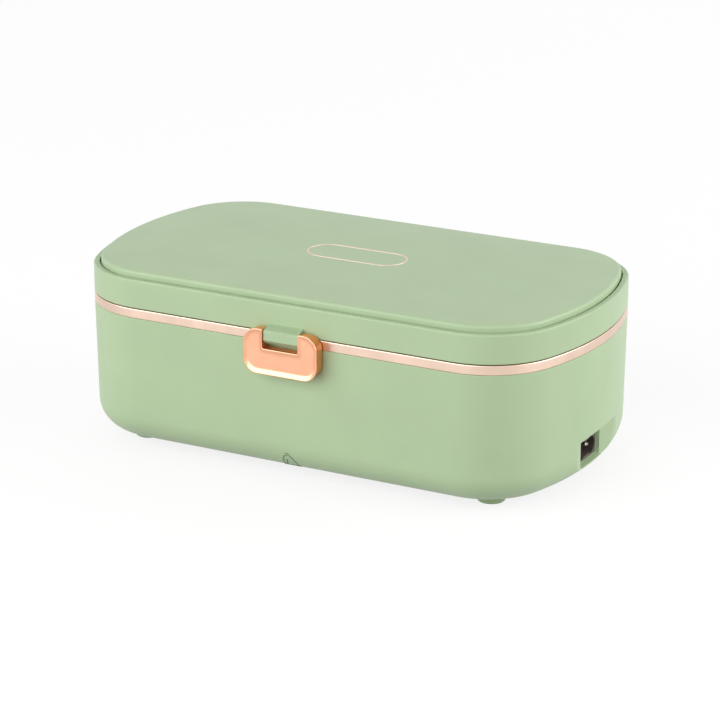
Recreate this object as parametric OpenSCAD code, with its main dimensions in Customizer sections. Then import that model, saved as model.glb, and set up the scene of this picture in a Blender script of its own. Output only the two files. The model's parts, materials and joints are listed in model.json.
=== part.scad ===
// Plug-in electric lunch box: a heated case with a hinged, crowned lid, a front clasp,
// a steel food tray with a sealed cover, and a mains inlet low on one short end.
// Millimetres. X runs along the case, -Y is the clasp side, Z is up from the table.

/* [Case] */
// Overall length of the case
body_l = 235; // [220:1:260]
// Overall width of the case
body_w = 130; // [122:1:140]
// Radius of the four upright corners
corner_r = 36; // [32:0.5:42]
// Radius of the bow across each short end
end_r = 128; // [112:1:160]
// Height of the lower shell, from its underside to the trim band
shell_h = 58.8; // [55:0.2:68]
// Wall thickness of the outer mouldings
wall = 2.4; // [2:0.1:2.8]
// Radius of the rounded lower edge
belly_r = 13.3; // [12:0.1:15]
// Lean of the lower shell's walls, from top to belly
draft = 0.7; // [0.2:0.1:1.2]

/* [Trim band] */
// Height of the metallised band under the lid
band_h = 4.4; // [3.6:0.2:6]
// Thickness of the band
band_t = 1.75; // [1.4:0.05:1.8]

/* [Lid] */
// Height of the lid's side wall
lid_wall_h = 12.8; // [11.5:0.1:16]
// Height of the panel's upright edge above the lid's rim
edge_h = 1.1; // [0.6:0.1:2]
// Rise of the panel's rounded edge above its upright edge
crown_h = 2.3; // [2:0.1:3]
// Further rise from the rounded edge to the middle of the panel
dome_h = 1.1; // [0.6:0.1:1.6]
// Width of the rounded edge of the crowned panel
crown_w = 2.6; // [2.4:0.1:4]
// Width of the rim left outside the groove
rim_w = 2.6; // [2.2:0.1:3.4]
// Width of the groove between rim and panel
groove_w = 0.7; // [0.5:0.1:1.2]

/* [Clasp] */
// Width of the clasp
clasp_w = 35.5; // [32:0.5:42]
// Height of the clasp
clasp_h = 20.1; // [18.5:0.1:22]
// Distance that the clasp stands out from the case wall
clasp_out = 6.5; // [6.2:0.1:7.5]
// Corner radius of the clasp
clasp_r = 6.5; // [4:0.5:8]
// Width of the notch in the clasp's top edge
notch_w = 17; // [14:0.5:20]
// Depth of the notch
notch_d = 8.5; // [8:0.1:9.5]
// Thickness of the polished cover plate
cover_t = 1.9; // [1.6:0.1:2.2]
// Radius of the clasp's hinge pin
clasp_pin_r = 1.1; // [0.9:0.05:1.15]

/* [Rear hinge] */
// Distance of each hinge from the middle of the case
hinge_x = 45; // [35:1:60]
// Width of the lid's knuckle
knuckle_w = 16; // [12:1:24]
// Thickness of each ear on the lower shell
ear_t = 4; // [3:0.5:6]
// Radius of the hinge pins
hinge_pin_r = 1.5; // [1.2:0.1:1.7]

/* [Well and tray] */
// Gap from the case's outside to the well's outer face
well_inset = 9; // [8:0.5:11]
// Wall of the well
well_t = 1.8; // [1.5:0.1:2.2]
// Width of the step where the well's mouth widens
step_w = 2.5; // [1.5:0.1:2.6]
// Depth of the wider mouth
step_d = 16.8; // [12:0.2:20]
// Height of the food tray
tray_h = 35.5; // [32:0.1:36]
// Sheet thickness of the tray
tray_t = 0.8; // [0.6:0.1:1.2]
// Width of the tray's rolled flange
flange_w = 3.6; // [3:0.1:4.5]

/* [Heater] */
// Length of the heating plate's body
plate_l = 144; // [120:2:150]
// Width of the heating plate's body
plate_w = 60; // [52:1:64]
// Thickness of the heating plate below its flange
plate_t = 3; // [2.4:0.1:3.4]
// Length of the heating element
ptc_l = 70; // [60:1:74]
// Width of the heating element
ptc_w = 24; // [20:1:30]

/* [Inlet] */
// Width of the inlet's face
inlet_w = 18.5; // [17:0.5:20]
// Height of the inlet's face
inlet_h = 9.4; // [8.8:0.1:9.6]
// Distance between the centres of the two contact pins
pin_pitch = 8.6; // [8.6:0.1:8.8]
// Radius of each contact pin
contact_r = 1.18; // [1.1:0.02:1.3]
// Distance from the end of the case to the floor of the inlet's pocket
pocket_d = 7; // [6:0.1:7.4]
// Width of the pocket's mouth in the end of the case
mouth_w = 38.5; // [36:0.5:44]

/* [Feet] */
// Visible height of the feet
foot_h = 4; // [3:0.2:6]
// Radius of the feet where they meet the table
foot_r = 6; // [5:0.5:6.5]

/* [Hidden] */

$fn = 96;
small_fn = 48;
eps = 0.01;
cut = 1;          // overrun of a cutting body past the face it opens
fit = 0.1;        // gap between rigid pieces that seat in each other
slip = 0.4;       // gap round a piece that lifts out
run_fit = 0.05;   // radial clearance of a pin in its bore
seam = 0.3;       // open seam between lid and band
sage = "#a9bf98";
rose = "#d9a184";
steel = "#c9ccce";
cream = "#e9e6dc";
dark = "#2f2b29";
red = "#b5483c";

// Plan outline: long straight sides, round corners and gently bowed short ends. The angle and
// the corner centres are rounded, so that neighbouring stretches of wall meet exactly.
hx = body_l / 2;
hy = body_w / 2;
corner_y = hy - corner_r;
end_half = round(1e4 * asin(corner_y / (end_r - corner_r))) / 1e4;
bow = corner_y / sin(end_half);
corner_x = round(1e3 * (hx - corner_r - bow * (1 - cos(end_half)))) / 1e3;
end_x = corner_x - bow * cos(end_half);
core_lap = ceil(bow * (1 - cos(end_half))) + 1;

// Levels of the case
floor_z = foot_h;
band_z = floor_z + shell_h;
rim_z = band_z + band_h;
lid_z = rim_z + seam;
lid_rim_z = lid_z + lid_wall_h;
shoulder_z = lid_rim_z + edge_h + crown_h;
top_z = shoulder_z + dome_h;

// Upper edge of the lower shell
tongue_s = band_t + fit;
tongue_in = 3.9;
tongue_z = band_z + 2.2;
chamfer = 0.3;

// Base cover and its seat in the shell
cover_plate_t = 2;
cover_s = 14.5;
ledge_s = 18;
ledge_top = floor_z + 2 * cover_plate_t;
rib_t = 1.4;
screw_r = 1.4;
screw_head_r = 2.7;
screw_head_h = 1.8;
post_r = 3.5;
post_back = 13.5;
post_sink = 1;
rib_back = 30;
rib_pitch = 40;
base_screw_l = 12;
screw_seat_z = floor_z + screw_head_h + 0.2;
post_z = screw_seat_z + 1.4;
pad_r = screw_head_r + 1.6;
thread_fit = 0.02;
screw_gap = 0.2;

// Feet stand in the base cover, near the corners
foot_s = 21.4;
foot_top_r = 6.5;
foot_recess = 0.5;
foot_stem_r = 2.5;
foot_stem_h = 5;
foot_angle = 55.5;

// Well
well_floor_t = 1.8;
well_floor_z = floor_z + 20;
well_r = 10;
well_lean = 1;
well_flange_t = 1.8;
well_top_z = tongue_z + well_flange_t;
step_z = well_top_z - step_d;
mouth_s = well_inset - step_w;

// Heating plate, from its flange downwards
seal_h = 0.6;
plate_r = 20;
plate_lip = 8;
plate_flange_t = 0.8;
plate_top_z = well_floor_z + seal_h + plate_flange_t;
plate_under_z = well_floor_z + seal_h - plate_t;
stud_r = 1.5;
stud_x = plate_l / 2 - 12;
stud_in = 3.6;
nut_r = 3.2;
nut_h = 2.4;
ptc_t = 5;
clamp_t = 1.2;
clamp_w = 12;
clamp_foot = 11;
small_screw_r = 1.1;
small_head_r = 2.3;
small_head_h = 1.4;
screw_bite = 2;
thermo_x = 11 - plate_l / 2;
thermo_r = 7.9;
thermo_ear = 12;
ear_r = 3;
thermo_h = 6;
blade_w = 4;
blade_t = 0.8;
blade_l = 6;
thermo_blade_y = 4.5;
thermo_blade_l = 5;
ptc_blade_y = 9;
ptc_blade_z = plate_under_z - 3;
fuse_x = plate_l / 2 - 12;
fuse_r = 2;
fuse_l = 13;
fuse_foot = 7;
strap_t = 0.6;

// Food tray and its cover
tray_z = plate_top_z + fit;
tray_s = well_inset + well_t + slip;
tray_wall_s = tray_s + flange_w - tray_t;
tray_lean = 1.2;
tray_r = 9;
roll_h = 2.2;
tray_top_z = tray_z + tray_h;
cover_z = tray_top_z + fit;
lidding_t = 1.6;
skirt_s = tray_wall_s + tray_t + 1.3;
skirt_h = 6.5;
lidding_s = tray_s + 1.2;
bead_s = tray_s + 2;
bead_w = 2.4;
bead_h = 1.6;
seal_z = cover_z - 4.6;
seal_ring_h = 2.6;
tab_back = 15;
tab_w = 8;
plug_x = 62;
plug_hole_r = 3;
plug_cap_r = 7.5;
plug_travel = 1.2;

// Lid
lid_wall = 2.2;
panel_s = rim_w + groove_w;
deck_t = 1.8;
panel_t = 1.8;
panel_edge_h = 1.5;
deck_z = lid_rim_z - panel_edge_h - 0.4;
deck_under_z = deck_z - deck_t;
// The panel's section is two arcs that meet smoothly: a wide dome and a tight rounded edge
shoulder_s = panel_s + crown_w;
dome_w = corner_r - shoulder_s;
dome_r = (pow(dome_w, 2) + pow(dome_h, 2)) / (2 * dome_h);
dome_slope = asin(dome_w / dome_r);
crown_r = (pow(crown_w, 2) + pow(crown_h, 2))
    / (2 * (crown_h * cos(dome_slope) - crown_w * sin(dome_slope)));
crown_s = shoulder_s + crown_r * sin(dome_slope);
crown_z = shoulder_z - crown_r * cos(dome_slope);
liner_s = lid_wall + fit;
liner_z = lid_z + 0.4;
liner_flange_t = 2.4;
liner_wall_s = 8.5;
liner_t = 1.6;
liner_top_z = deck_under_z - fit;
lid_seal_s = 4.6;
lid_seal_w = 2.4;
lid_seal_depth = 1.4;
lid_screw_x = 70;
lid_screw_y = 34;
lid_boss_r = 3;
panel_under_z = top_z - panel_t;

// Rear hinge
hinge_gap = 0.5;
knuckle_r = 3;
hinge_y = hy + hinge_gap + knuckle_r;
hinge_z = rim_z + 0.2;
ear_gap = 0.3;
ear_x = knuckle_w / 2 + ear_gap;
pin_head = 0.8;

// Clasp
clasp_front = hy + clasp_out;
clasp_top = rim_z + 3;
clasp_bottom = clasp_top - clasp_h;
clasp_pin_y = clasp_front - cover_t - 1.7;
clasp_pin_z = clasp_top - 2.2;
lever_t = clasp_out - cover_t - 0.15 - hinge_gap;
barrel_r = clasp_pin_y - hy - hinge_gap;
lug_w = notch_w - 0.5;
catch_w = 20;
catch_h = 3;
catch_out = 1.2;
catch_z = clasp_bottom + 4;
notch_z = clasp_top - notch_d;

// Inlet
inlet_z = floor_z + 10.3;
pocket_x = hx - pocket_d;
pocket_margin = 0.3;
pocket_step = 1.7;    // upright step beside the face, before the ramps begin
roof_rise = 4.4;      // rise of the pocket's roof from the face to the case's outside
sill_drop = 2;
mouth_back = 2.2;     // how far the end has bowed back at the edges of the mouth
inlet_depth = 14;
inlet_lug = 7;        // width of each screw lug beside the face
inlet_screw_y = inlet_w / 2 + 4;
lug_t = 2;
pin_l = 9.2;
pin_tail = 3;
pin_set = 2;
socket_rim = 0.7;
socket_waist = 0.6;

// Indicator lamp, behind the lower edge of the front
lamp_r = 2.5;
lamp_l = 8.6;
lamp_leg = 1.27;
lamp_leg_l = 4;
lamp_y = -hy + wall + 3;
lamp_z = ledge_top + 4.5;
holder_w = 9;
holder_t = 5;

// Wiring
lead_r = 0.9;
lead_sides = 8;
lead_steps = 16;
lead_stub = 1.2;

// ---------- profiles ----------

// A point of a wall section: s in from the case's edge, z up
function at(s, z) = [corner_r - s, z];

// Rectangle of a wall section
module strip(s0, s1, z0, z1) {
    translate(at(s1, z0)) square([s1 - s0, z1 - z0]);
}

// Section of a solid bowl: leaning wall, rounded lower edge, flat floor
module bowl_section(s, z0, r, lean, z1) {
    belly = s + lean + r;
    translate(at(belly, z0 + r)) intersection() {
        circle(r);
        translate([0, -r]) square(r);
    }
    polygon([at(corner_r, z0), at(belly, z0), at(belly, z0 + r), at(s + lean, z0 + r),
        at(s, z1), at(corner_r, z1)]);
}

// Moves in two steps, so that no digits are lost
module shift(v) {
    coarse = [for (c = v) round(c)];
    translate(coarse) translate(v - coarse) children();
}

// Sweeps a wall section right round the case
module around() {
    for (side = [0, 180]) rotate(side) {
        shift([end_x, 0, 0]) rotate_extrude(start = -end_half, angle = 2 * end_half)
            shift([bow, 0]) children();
        translate([corner_x, corner_y, 0])
            rotate_extrude(start = end_half, angle = 90 - end_half) children();
        translate([corner_x, -corner_y, 0])
            rotate_extrude(start = -90, angle = 90 - end_half) children();
        translate([0, corner_y, 0]) rotate([90, 0, 90])
            linear_extrude(2 * corner_x, center = true) children();
    }
}

// Flat plate with the case's plan outline, drawn s inside the case's edge
module plate(s, z0, z1) {
    around() strip(s, corner_r, z0, z1);
    core(z0, z1);
}

// Middle of a flat plate, inside the line of the corner centres
module core(z0, z1) {
    translate([-corner_x, -corner_y, z0]) cube([2 * corner_x, 2 * corner_y, z1 - z0]);
    for (side = [0, 180]) rotate(side) shift([end_x, 0, 0])
        rotate_extrude(start = -end_half, angle = 2 * end_half)
            shift([bow - core_lap, 0]) translate([0, z0]) square([core_lap + 1, z1 - z0]);
}

// Ring that follows the case's plan outline
module ring(s0, s1, z0, z1) {
    around() strip(s0, s1, z0, z1);
}

// Rectangle with round corners
module pill(l, w, r) {
    square([l - 2 * r, w], center = true);
    square([l, w - 2 * r], center = true);
    for (x = [-1, 1], y = [-1, 1]) translate([x * (l / 2 - r), y * (w / 2 - r)]) circle(r);
}

module slab(l, w, r, z0, z1) {
    translate([0, 0, z0]) linear_extrude(z1 - z0) pill(l, w, r);
}

module rod(r, z0, z1) {
    translate([0, 0, z0]) cylinder(r = r, h = z1 - z0, $fn = small_fn);
}

// Rod along X, centred on x = 0
module cross_rod(r, l) {
    rotate([0, 90, 0]) cylinder(r = r, h = l, center = true, $fn = small_fn);
}

// Profile in the YZ plane, extruded along X about x = 0
module side_profile(l) {
    rotate([90, 0, 90]) linear_extrude(l, center = true) children();
}

// Screw standing head down on z = 0, with its point up
module screw(r, l, head_r, head_h) {
    difference() {
        rod(head_r, 0, head_h);
        for (turn = [0, 90]) rotate(turn)
            translate([-head_r * 0.6, -0.3, -eps]) cube([head_r * 1.2, 0.6, head_h * 0.5]);
    }
    rod(r, head_h - eps, head_h + l - r);
    translate([0, 0, head_h + l - r - eps]) cylinder(r1 = r, r2 = r * 0.3, h = r, $fn = small_fn);
}

// Points of a round tube swept along a route
function unit(v) = v / norm(v);
function heading(path, i) = unit(path[min(i + 1, len(path) - 1)] - path[max(i - 1, 0)]);
function side_of(d) = unit(cross(d, abs(d.z) < 0.9 ? [0, 0, 1] : [1, 0, 0]));
function tube_ring(path, i, r, sides) =
    let (d = heading(path, i), u = side_of(d), v = cross(d, u))
    [for (k = [0 : sides - 1]) path[i] + r * (cos(360 * k / sides) * u + sin(360 * k / sides) * v)];

module tube(path, r, sides) {
    rings = len(path);
    points = [for (i = [0 : rings - 1]) each tube_ring(path, i, r, sides)];
    walls = [for (i = [0 : rings - 2], k = [0 : sides - 1])
        [i * sides + k, i * sides + (k + 1) % sides,
            (i + 1) * sides + (k + 1) % sides, (i + 1) * sides + k]];
    start_cap = [for (k = [sides - 1 : -1 : 0]) k];
    end_cap = [for (k = [0 : sides - 1]) (rings - 1) * sides + k];
    polyhedron(points = points, faces = concat([start_cap, end_cap], walls), convexity = 8);
}

// Smooth run between two ends that leaves both of them straight: da and db point out of the
// terminals, and their largest part is the direction in which the lead leaves
function bezier(a, b, c, d, t) =
    pow(1 - t, 3) * a + 3 * pow(1 - t, 2) * t * b + 3 * (1 - t) * t * t * c + t * t * t * d;
function square_part(v) = let (m = max(abs(v.x), abs(v.y), abs(v.z)))
    [for (c = v) abs(c) == m ? sign(c) : 0];
function lead_path(a, da, b, db) =
    let (a1 = a + lead_stub * square_part(da), b1 = b + lead_stub * square_part(db))
    concat([a], [for (i = [0 : lead_steps]) bezier(a1, a + da, b + db, b1, i / lead_steps)], [b]);

module lead(a, da, b, db) {
    tube(lead_path(a, da, b, db), lead_r, lead_sides);
}

// ---------- lower case ----------

// Places of the four base screws, in from each corner centre
module at_base_posts() {
    for (x = [-1, 1], y = [-1, 1])
        translate([x * (corner_x + post_back), y * (corner_y + 1), 0]) children();
}

module at_feet() {
    for (x = [-1, 1], y = [-1, 1])
        translate([x * (corner_x + (corner_r - foot_s) * cos(foot_angle)),
            y * (corner_y + (corner_r - foot_s) * sin(foot_angle)), 0]) children();
}

// Half outline of the pocket, from above, pushed back and widened by grow
function pocket_side(grow) =
    let (face_y = inlet_w / 2 + pocket_margin, ramp_x = pocket_x + pocket_step,
        slope = (mouth_w / 2 - face_y) / (hx - mouth_back - ramp_x))
    [[pocket_x - grow, face_y + grow / 2], [ramp_x - grow, face_y + grow / 2 + 0.3],
        [hx + cut, face_y + slope * (hx + cut - ramp_x + grow)]];

module pocket_plan(grow) {
    side = pocket_side(grow);
    polygon(concat(side, [for (i = [len(side) - 1 : -1 : 0]) [side[i].x, -side[i].y]]));
}

// Scooped recess round the inlet: a ramp on each side, a sloped roof and a sill
module pocket_space() {
    z0 = inlet_z - inlet_h / 2 - pocket_margin;
    z1 = inlet_z + inlet_h / 2 + pocket_margin;
    run = hx + cut - pocket_x;
    intersection() {
        translate([0, 0, z0 - sill_drop - cut]) linear_extrude(z1 - z0 + 2 * roof_rise + sill_drop + cut)
            pocket_plan(0);
        translate([0, hy, 0]) rotate([90, 0, 0]) linear_extrude(body_w)
            polygon([[pocket_x - cut, z0], [pocket_x + 1, z0], [hx + cut, z0 - sill_drop],
                [hx + cut, z1 + roof_rise * run / (pocket_d - 1)], [pocket_x, z1], [pocket_x - cut, z1]]);
    }
}

module body_ear(x) {
    translate([x, 0, 0]) side_profile(ear_t) {
        translate([hinge_y, hinge_z]) circle(knuckle_r, $fn = small_fn);
        polygon([[hinge_y - knuckle_r, hinge_z], [hinge_y - knuckle_r, band_z - 1],
            [hy - wall / 2, band_z - 1], [hy - wall / 2, band_z - 9.5], [hy, band_z - 9],
            [hinge_y + knuckle_r, band_z - 1], [hinge_y + knuckle_r, hinge_z]]);
    }
}

module body_shell() {
    color(sage) difference() {
        union() {
            around() difference() {
                union() {
                    difference() {
                        bowl_section(0, floor_z, belly_r, draft, band_z);
                        bowl_section(wall, floor_z + wall, belly_r - wall, draft, band_z + eps);
                    }
                    polygon([at(wall - 0.4, band_z - 8), at(tongue_in, band_z - 6),
                        at(tongue_in, tongue_z), at(tongue_s, tongue_z),
                        at(tongue_s, band_z - cut), at(wall - 0.4, band_z - cut)]);
                    strip(11.5, ledge_s, floor_z + cover_plate_t, ledge_top);
                }
                polygon([at(-eps, band_z - chamfer), at(-eps, band_z + eps), at(chamfer, band_z + eps)]);
                strip(cover_s, corner_r, floor_z - cut, floor_z + cover_plate_t);
                strip(ledge_s, corner_r, floor_z, floor_z + wall + eps);
            }
            inlet_bay();
            for (side = [-1, 1], ear = [-1, 1])
                body_ear(side * hinge_x + ear * (ear_x + ear_t / 2));
            translate([0, -hy + wall / 2 - (catch_out + wall / 2) / 2, catch_z + catch_h / 2])
                cube([catch_w, catch_out + wall / 2, catch_h], center = true);
        }
        pocket_space();
        translate([pocket_x - wall - cut, -inlet_w / 2 - fit, inlet_z - inlet_h / 2 - fit])
            cube([wall + 2 * cut, inlet_w + 2 * fit, inlet_h + 2 * fit]);
        for (side = [-1, 1]) translate([side * hinge_x, hinge_y, hinge_z])
            cross_rod(hinge_pin_r + thread_fit, 2 * (ear_x + ear_t) + cut);
        inlet_screw_holes();
    }
}

// Wall behind the pocket, which the inlet is screwed to
module inlet_bay() {
    z0 = floor_z + 1;
    z1 = inlet_z + inlet_h / 2 + pocket_margin + roof_rise + wall;
    bay_y = inlet_w / 2 + inlet_lug;
    intersection() {
        translate([0, 0, z0]) linear_extrude(z1 - z0) {
            pocket_plan(wall);
            translate([pocket_x - wall, -bay_y]) square([pocket_step + wall, 2 * bay_y]);
        }
        around() bowl_section(0, floor_z, belly_r, draft, band_z);
    }
}

module inlet_screw_holes() {
    for (y = [-1, 1]) translate([pocket_x - wall - cut, y * inlet_screw_y, inlet_z])
        rotate([0, 90, 0]) rod(small_screw_r + thread_fit, 0, cut + wall - 0.8);
}

module trim_band() {
    color(rose) around() difference() {
        strip(0, band_t, band_z, rim_z);
        polygon([at(-eps, rim_z - 0.6), at(-eps, rim_z + eps), at(0.6, rim_z + eps)]);
        polygon([at(-eps, band_z - eps), at(-eps, band_z + 0.2), at(0.2, band_z - eps)]);
    }
}

module well_liner() {
    inner_s = well_inset + well_t;
    under_z = well_floor_z - well_floor_t;
    color(cream) difference() {
        union() {
            around() difference() {
                union() {
                    bowl_section(well_inset, under_z, well_r, well_lean, step_z);
                    strip(mouth_s, corner_r, step_z - well_t, tongue_z + eps);
                    strip(tongue_s + fit, corner_r, tongue_z, well_top_z);
                }
                bowl_section(inner_s, well_floor_z, well_r - well_t, well_lean, step_z + eps);
                strip(mouth_s + well_t, corner_r, step_z, well_top_z + eps);
            }
            core(under_z, well_floor_z);
            at_base_posts() rod(post_r, post_z, well_floor_z - post_sink);
        }
        translate([0, 0, under_z - cut]) linear_extrude(well_floor_t + 2 * cut)
            pill(plate_l + 2 * slip, plate_w + 2 * slip, plate_r + slip);
        at_studs() rod(stud_r + screw_gap, under_z - cut, well_floor_z + cut);
        at_base_posts() rod(screw_r + thread_fit, floor_z, screw_seat_z + base_screw_l + 1);
    }
}

module base_cover() {
    color(sage) difference() {
        union() {
            plate(cover_s + fit, floor_z, floor_z + cover_plate_t);
            ring(ledge_s + slip, ledge_s + slip + rib_t, floor_z + cover_plate_t - eps, ledge_top);
            for (x = [-1, 0, 1])
                translate([x * rib_pitch - rib_t / 2, rib_back - hy, floor_z + cover_plate_t - eps])
                    cube([rib_t, 2 * (hy - rib_back), cover_plate_t]);
            at_base_posts() rod(pad_r, floor_z + cover_plate_t - eps, post_z);
        }
        at_base_posts() {
            rod(post_r + fit, post_z, ledge_top + cut);
            rod(screw_r + screw_gap, floor_z - cut, post_z + cut);
            rod(screw_head_r + screw_gap, floor_z - cut, screw_seat_z);
        }
        at_feet() {
            rod(foot_stem_r + fit, floor_z - cut, ledge_top);
            rod(foot_top_r + fit, floor_z - cut, floor_z + foot_recess);
        }
    }
}

module base_screws() {
    color(steel) at_base_posts() translate([0, 0, screw_seat_z - screw_head_h])
        screw(screw_r, base_screw_l, screw_head_r, screw_head_h);
}

module rubber_feet() {
    seat_z = foot_h + foot_recess - fit / 2;
    color(sage) at_feet() rotate_extrude($fn = small_fn) polygon([[0, 0], [foot_r - 0.6, 0],
        [foot_r - 0.1, 0.4], [foot_r, 0.9], [foot_top_r, seat_z], [foot_stem_r, seat_z],
        [foot_stem_r, foot_h + foot_stem_h - 1], [foot_stem_r * 0.6, foot_h + foot_stem_h],
        [0, foot_h + foot_stem_h]]);
}

// ---------- heater ----------

module at_studs() {
    for (x = [-1, 1], y = [-1, 1])
        translate([x * stud_x, y * (plate_w / 2 + stud_in), 0]) children();
}

module heat_plate() {
    color(steel) difference() {
        union() {
            slab(plate_l, plate_w, plate_r, plate_under_z, plate_top_z - plate_flange_t + eps);
            slab(plate_l + 2 * plate_lip, plate_w + 2 * plate_lip, plate_r + plate_lip,
                plate_top_z - plate_flange_t, plate_top_z);
            at_studs() rod(stud_r, well_floor_z - well_floor_t - nut_h - 0.6, plate_top_z - eps);
        }
        at_element_screws() rod(small_screw_r + thread_fit, plate_under_z - cut, plate_top_z - 1);
    }
}

module plate_seal() {
    color(red) difference() {
        slab(plate_l + 2 * plate_lip - 1, plate_w + 2 * plate_lip - 1, plate_r + plate_lip - 0.5,
            well_floor_z, well_floor_z + seal_h);
        slab(plate_l + 1, plate_w + 1, plate_r + 0.5, well_floor_z - cut, well_floor_z + seal_h + cut);
        at_studs() rod(stud_r + fit, well_floor_z - cut, well_floor_z + seal_h + cut);
    }
}

module plate_nuts() {
    z1 = well_floor_z - well_floor_t;
    color(steel) at_studs() difference() {
        translate([0, 0, z1 - nut_h]) cylinder(r = nut_r, h = nut_h, $fn = 6);
        rod(stud_r + thread_fit, z1 - nut_h - cut, z1 + cut);
    }
}

// Tapped places under the plate
module at_clamp_screws() {
    for (x = [-1, 1]) translate([x * (ptc_l / 2 + clamp_foot - 4), 0, 0]) children();
}

module at_thermostat_screws() {
    for (y = [-1, 1]) translate([thermo_x, y * thermo_ear, 0]) children();
}

module at_clip_screw() {
    translate([fuse_x + fuse_foot - 1, 0, 0]) children();
}

module at_element_screws() {
    at_clamp_screws() children();
    at_thermostat_screws() children();
    at_clip_screw() children();
}

// Film-wrapped heating element with one blade terminal at each end
module ptc_heater() {
    color(cream) {
        translate([-ptc_l / 2, -ptc_w / 2, plate_under_z - ptc_t]) cube([ptc_l, ptc_w, ptc_t]);
        for (turn = [0, 180]) rotate(turn)
            translate([ptc_l / 2 - eps, -ptc_blade_y - blade_w / 2, ptc_blade_z])
                cube([blade_l + eps, blade_w, blade_t]);
    }
}

// Bent strap that holds the element up against the plate
module heater_clamp() {
    z0 = plate_under_z - ptc_t - clamp_t;
    foot_z = plate_under_z - clamp_t;
    span = ptc_l / 2 + 0.6;
    half = [[span + clamp_t, z0], [span + clamp_t, foot_z], [span + clamp_foot, foot_z],
        [span + clamp_foot, plate_under_z], [span, plate_under_z], [span, z0 + clamp_t]];
    color(steel) difference() {
        translate([0, clamp_w / 2, 0]) rotate([90, 0, 0]) linear_extrude(clamp_w)
            polygon(concat(half, [for (i = [len(half) - 1 : -1 : 0]) [-half[i].x, half[i].y]]));
        at_element_screws() rod(small_screw_r + screw_gap, foot_z - cut, plate_under_z + cut);
    }
}

module thermostat() {
    body_z = plate_under_z - thermo_h;
    color(dark) translate([thermo_x, 0, 0]) difference() {
        union() {
            rod(thermo_r, body_z, plate_under_z);
            translate([0, 0, plate_under_z - clamp_t]) linear_extrude(clamp_t) {
                square([2 * ear_r, 2 * thermo_ear], center = true);
                for (y = [-1, 1]) translate([0, y * thermo_ear]) circle(ear_r, $fn = small_fn);
            }
            for (y = [-1, 1])
                translate([-blade_w / 2, y * thermo_blade_y - blade_t / 2, body_z - thermo_blade_l])
                    cube([blade_w, blade_t, thermo_blade_l + eps]);
        }
        for (y = [-1, 1]) translate([0, y * thermo_ear, 0])
            rod(small_screw_r + screw_gap, plate_under_z - clamp_t - cut, plate_under_z + cut);
    }
}

module thermal_fuse() {
    color(cream) translate([fuse_x, 0, plate_under_z - fuse_r]) {
        rotate([90, 0, 0]) cylinder(r = fuse_r, h = fuse_l, center = true, $fn = small_fn);
    }
}

// Sprung strap that hooks over the fuse and is screwed down on one side
module fuse_clip() {
    r = fuse_r + 0.1;
    axis_z = plate_under_z - fuse_r;
    color(steel) difference() {
        translate([fuse_x, 0, 0]) rotate([90, 0, 0]) linear_extrude(5, center = true) difference() {
            union() {
                translate([0, axis_z]) circle(r + strap_t, $fn = small_fn);
                translate([-r - strap_t, axis_z]) square([2 * (r + strap_t), fuse_r]);
                translate([r, plate_under_z - strap_t]) square([fuse_foot, strap_t]);
            }
            translate([0, axis_z]) circle(r, $fn = small_fn);
            translate([-r, axis_z]) square([2 * r, fuse_r + cut]);
            translate([-2 * r, plate_under_z]) square([4 * r, 2 * r]);
        }
        at_element_screws()
            rod(small_screw_r + screw_gap, plate_under_z - strap_t - cut, plate_under_z + cut);
    }
}

module element_screws() {
    color(steel) {
        at_clamp_screws() hung_screw(clamp_t);
        at_thermostat_screws() hung_screw(clamp_t);
        at_clip_screw() hung_screw(strap_t);
    }
}

// Small screw driven up into the plate through a sheet of thickness t
module hung_screw(t) {
    translate([0, 0, plate_under_z - t - small_head_h])
        screw(small_screw_r, t + screw_bite, small_head_r, small_head_h);
}

// ---------- inlet, wiring and lamp ----------

module inlet_socket() {
    back = pocket_x - inlet_depth;
    lug_x = pocket_x - wall - fit - lug_t;
    color(dark) difference() {
        union() {
            translate([back, -inlet_w / 2, inlet_z - inlet_h / 2]) cube([inlet_depth, inlet_w, inlet_h]);
            translate([lug_x, -inlet_w / 2 - inlet_lug, inlet_z - inlet_h / 2])
                cube([lug_t, inlet_w + 2 * inlet_lug, inlet_h]);
        }
        translate([pocket_x - pin_l - 1, 0, inlet_z]) rotate([0, 90, 0])
            linear_extrude(pin_l + 1 + cut) socket_mouth();
        for (y = [-1, 1]) {
            translate([back - cut, y * pin_pitch / 2, inlet_z]) rotate([0, 90, 0])
                rod(contact_r + thread_fit, 0, inlet_depth);
            translate([lug_x - cut, y * inlet_screw_y, inlet_z]) rotate([0, 90, 0])
                rod(small_screw_r + screw_gap, 0, lug_t + 2 * cut);
        }
    }
}

// Mouth of the socket: two overlapping rounds, for the two sides of the connector
module socket_mouth() {
    round_r = inlet_h / 2 - socket_rim;
    for (y = [-1, 1]) translate([0, y * (inlet_w / 2 - socket_rim - round_r)])
        circle(round_r, $fn = small_fn);
    square([2 * (round_r - socket_waist), inlet_w - 2 * (socket_rim + round_r)], center = true);
}

module inlet_pins() {
    color(steel) for (y = [-1, 1]) translate([0, y * pin_pitch / 2, inlet_z]) rotate([0, 90, 0]) {
        rod(contact_r, pocket_x - inlet_depth - pin_tail, pocket_x - pin_set);
        translate([0, 0, pocket_x - pin_set - eps])
            cylinder(r1 = contact_r, r2 = contact_r * 0.6, h = 0.8, $fn = small_fn);
    }
}

module inlet_screws() {
    color(steel) for (y = [-1, 1])
        translate([pocket_x - wall - fit - lug_t - small_head_h, y * inlet_screw_y, inlet_z])
            rotate([0, 90, 0]) screw(small_screw_r, lug_t + fit + 1, small_head_r, small_head_h);
}

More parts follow.
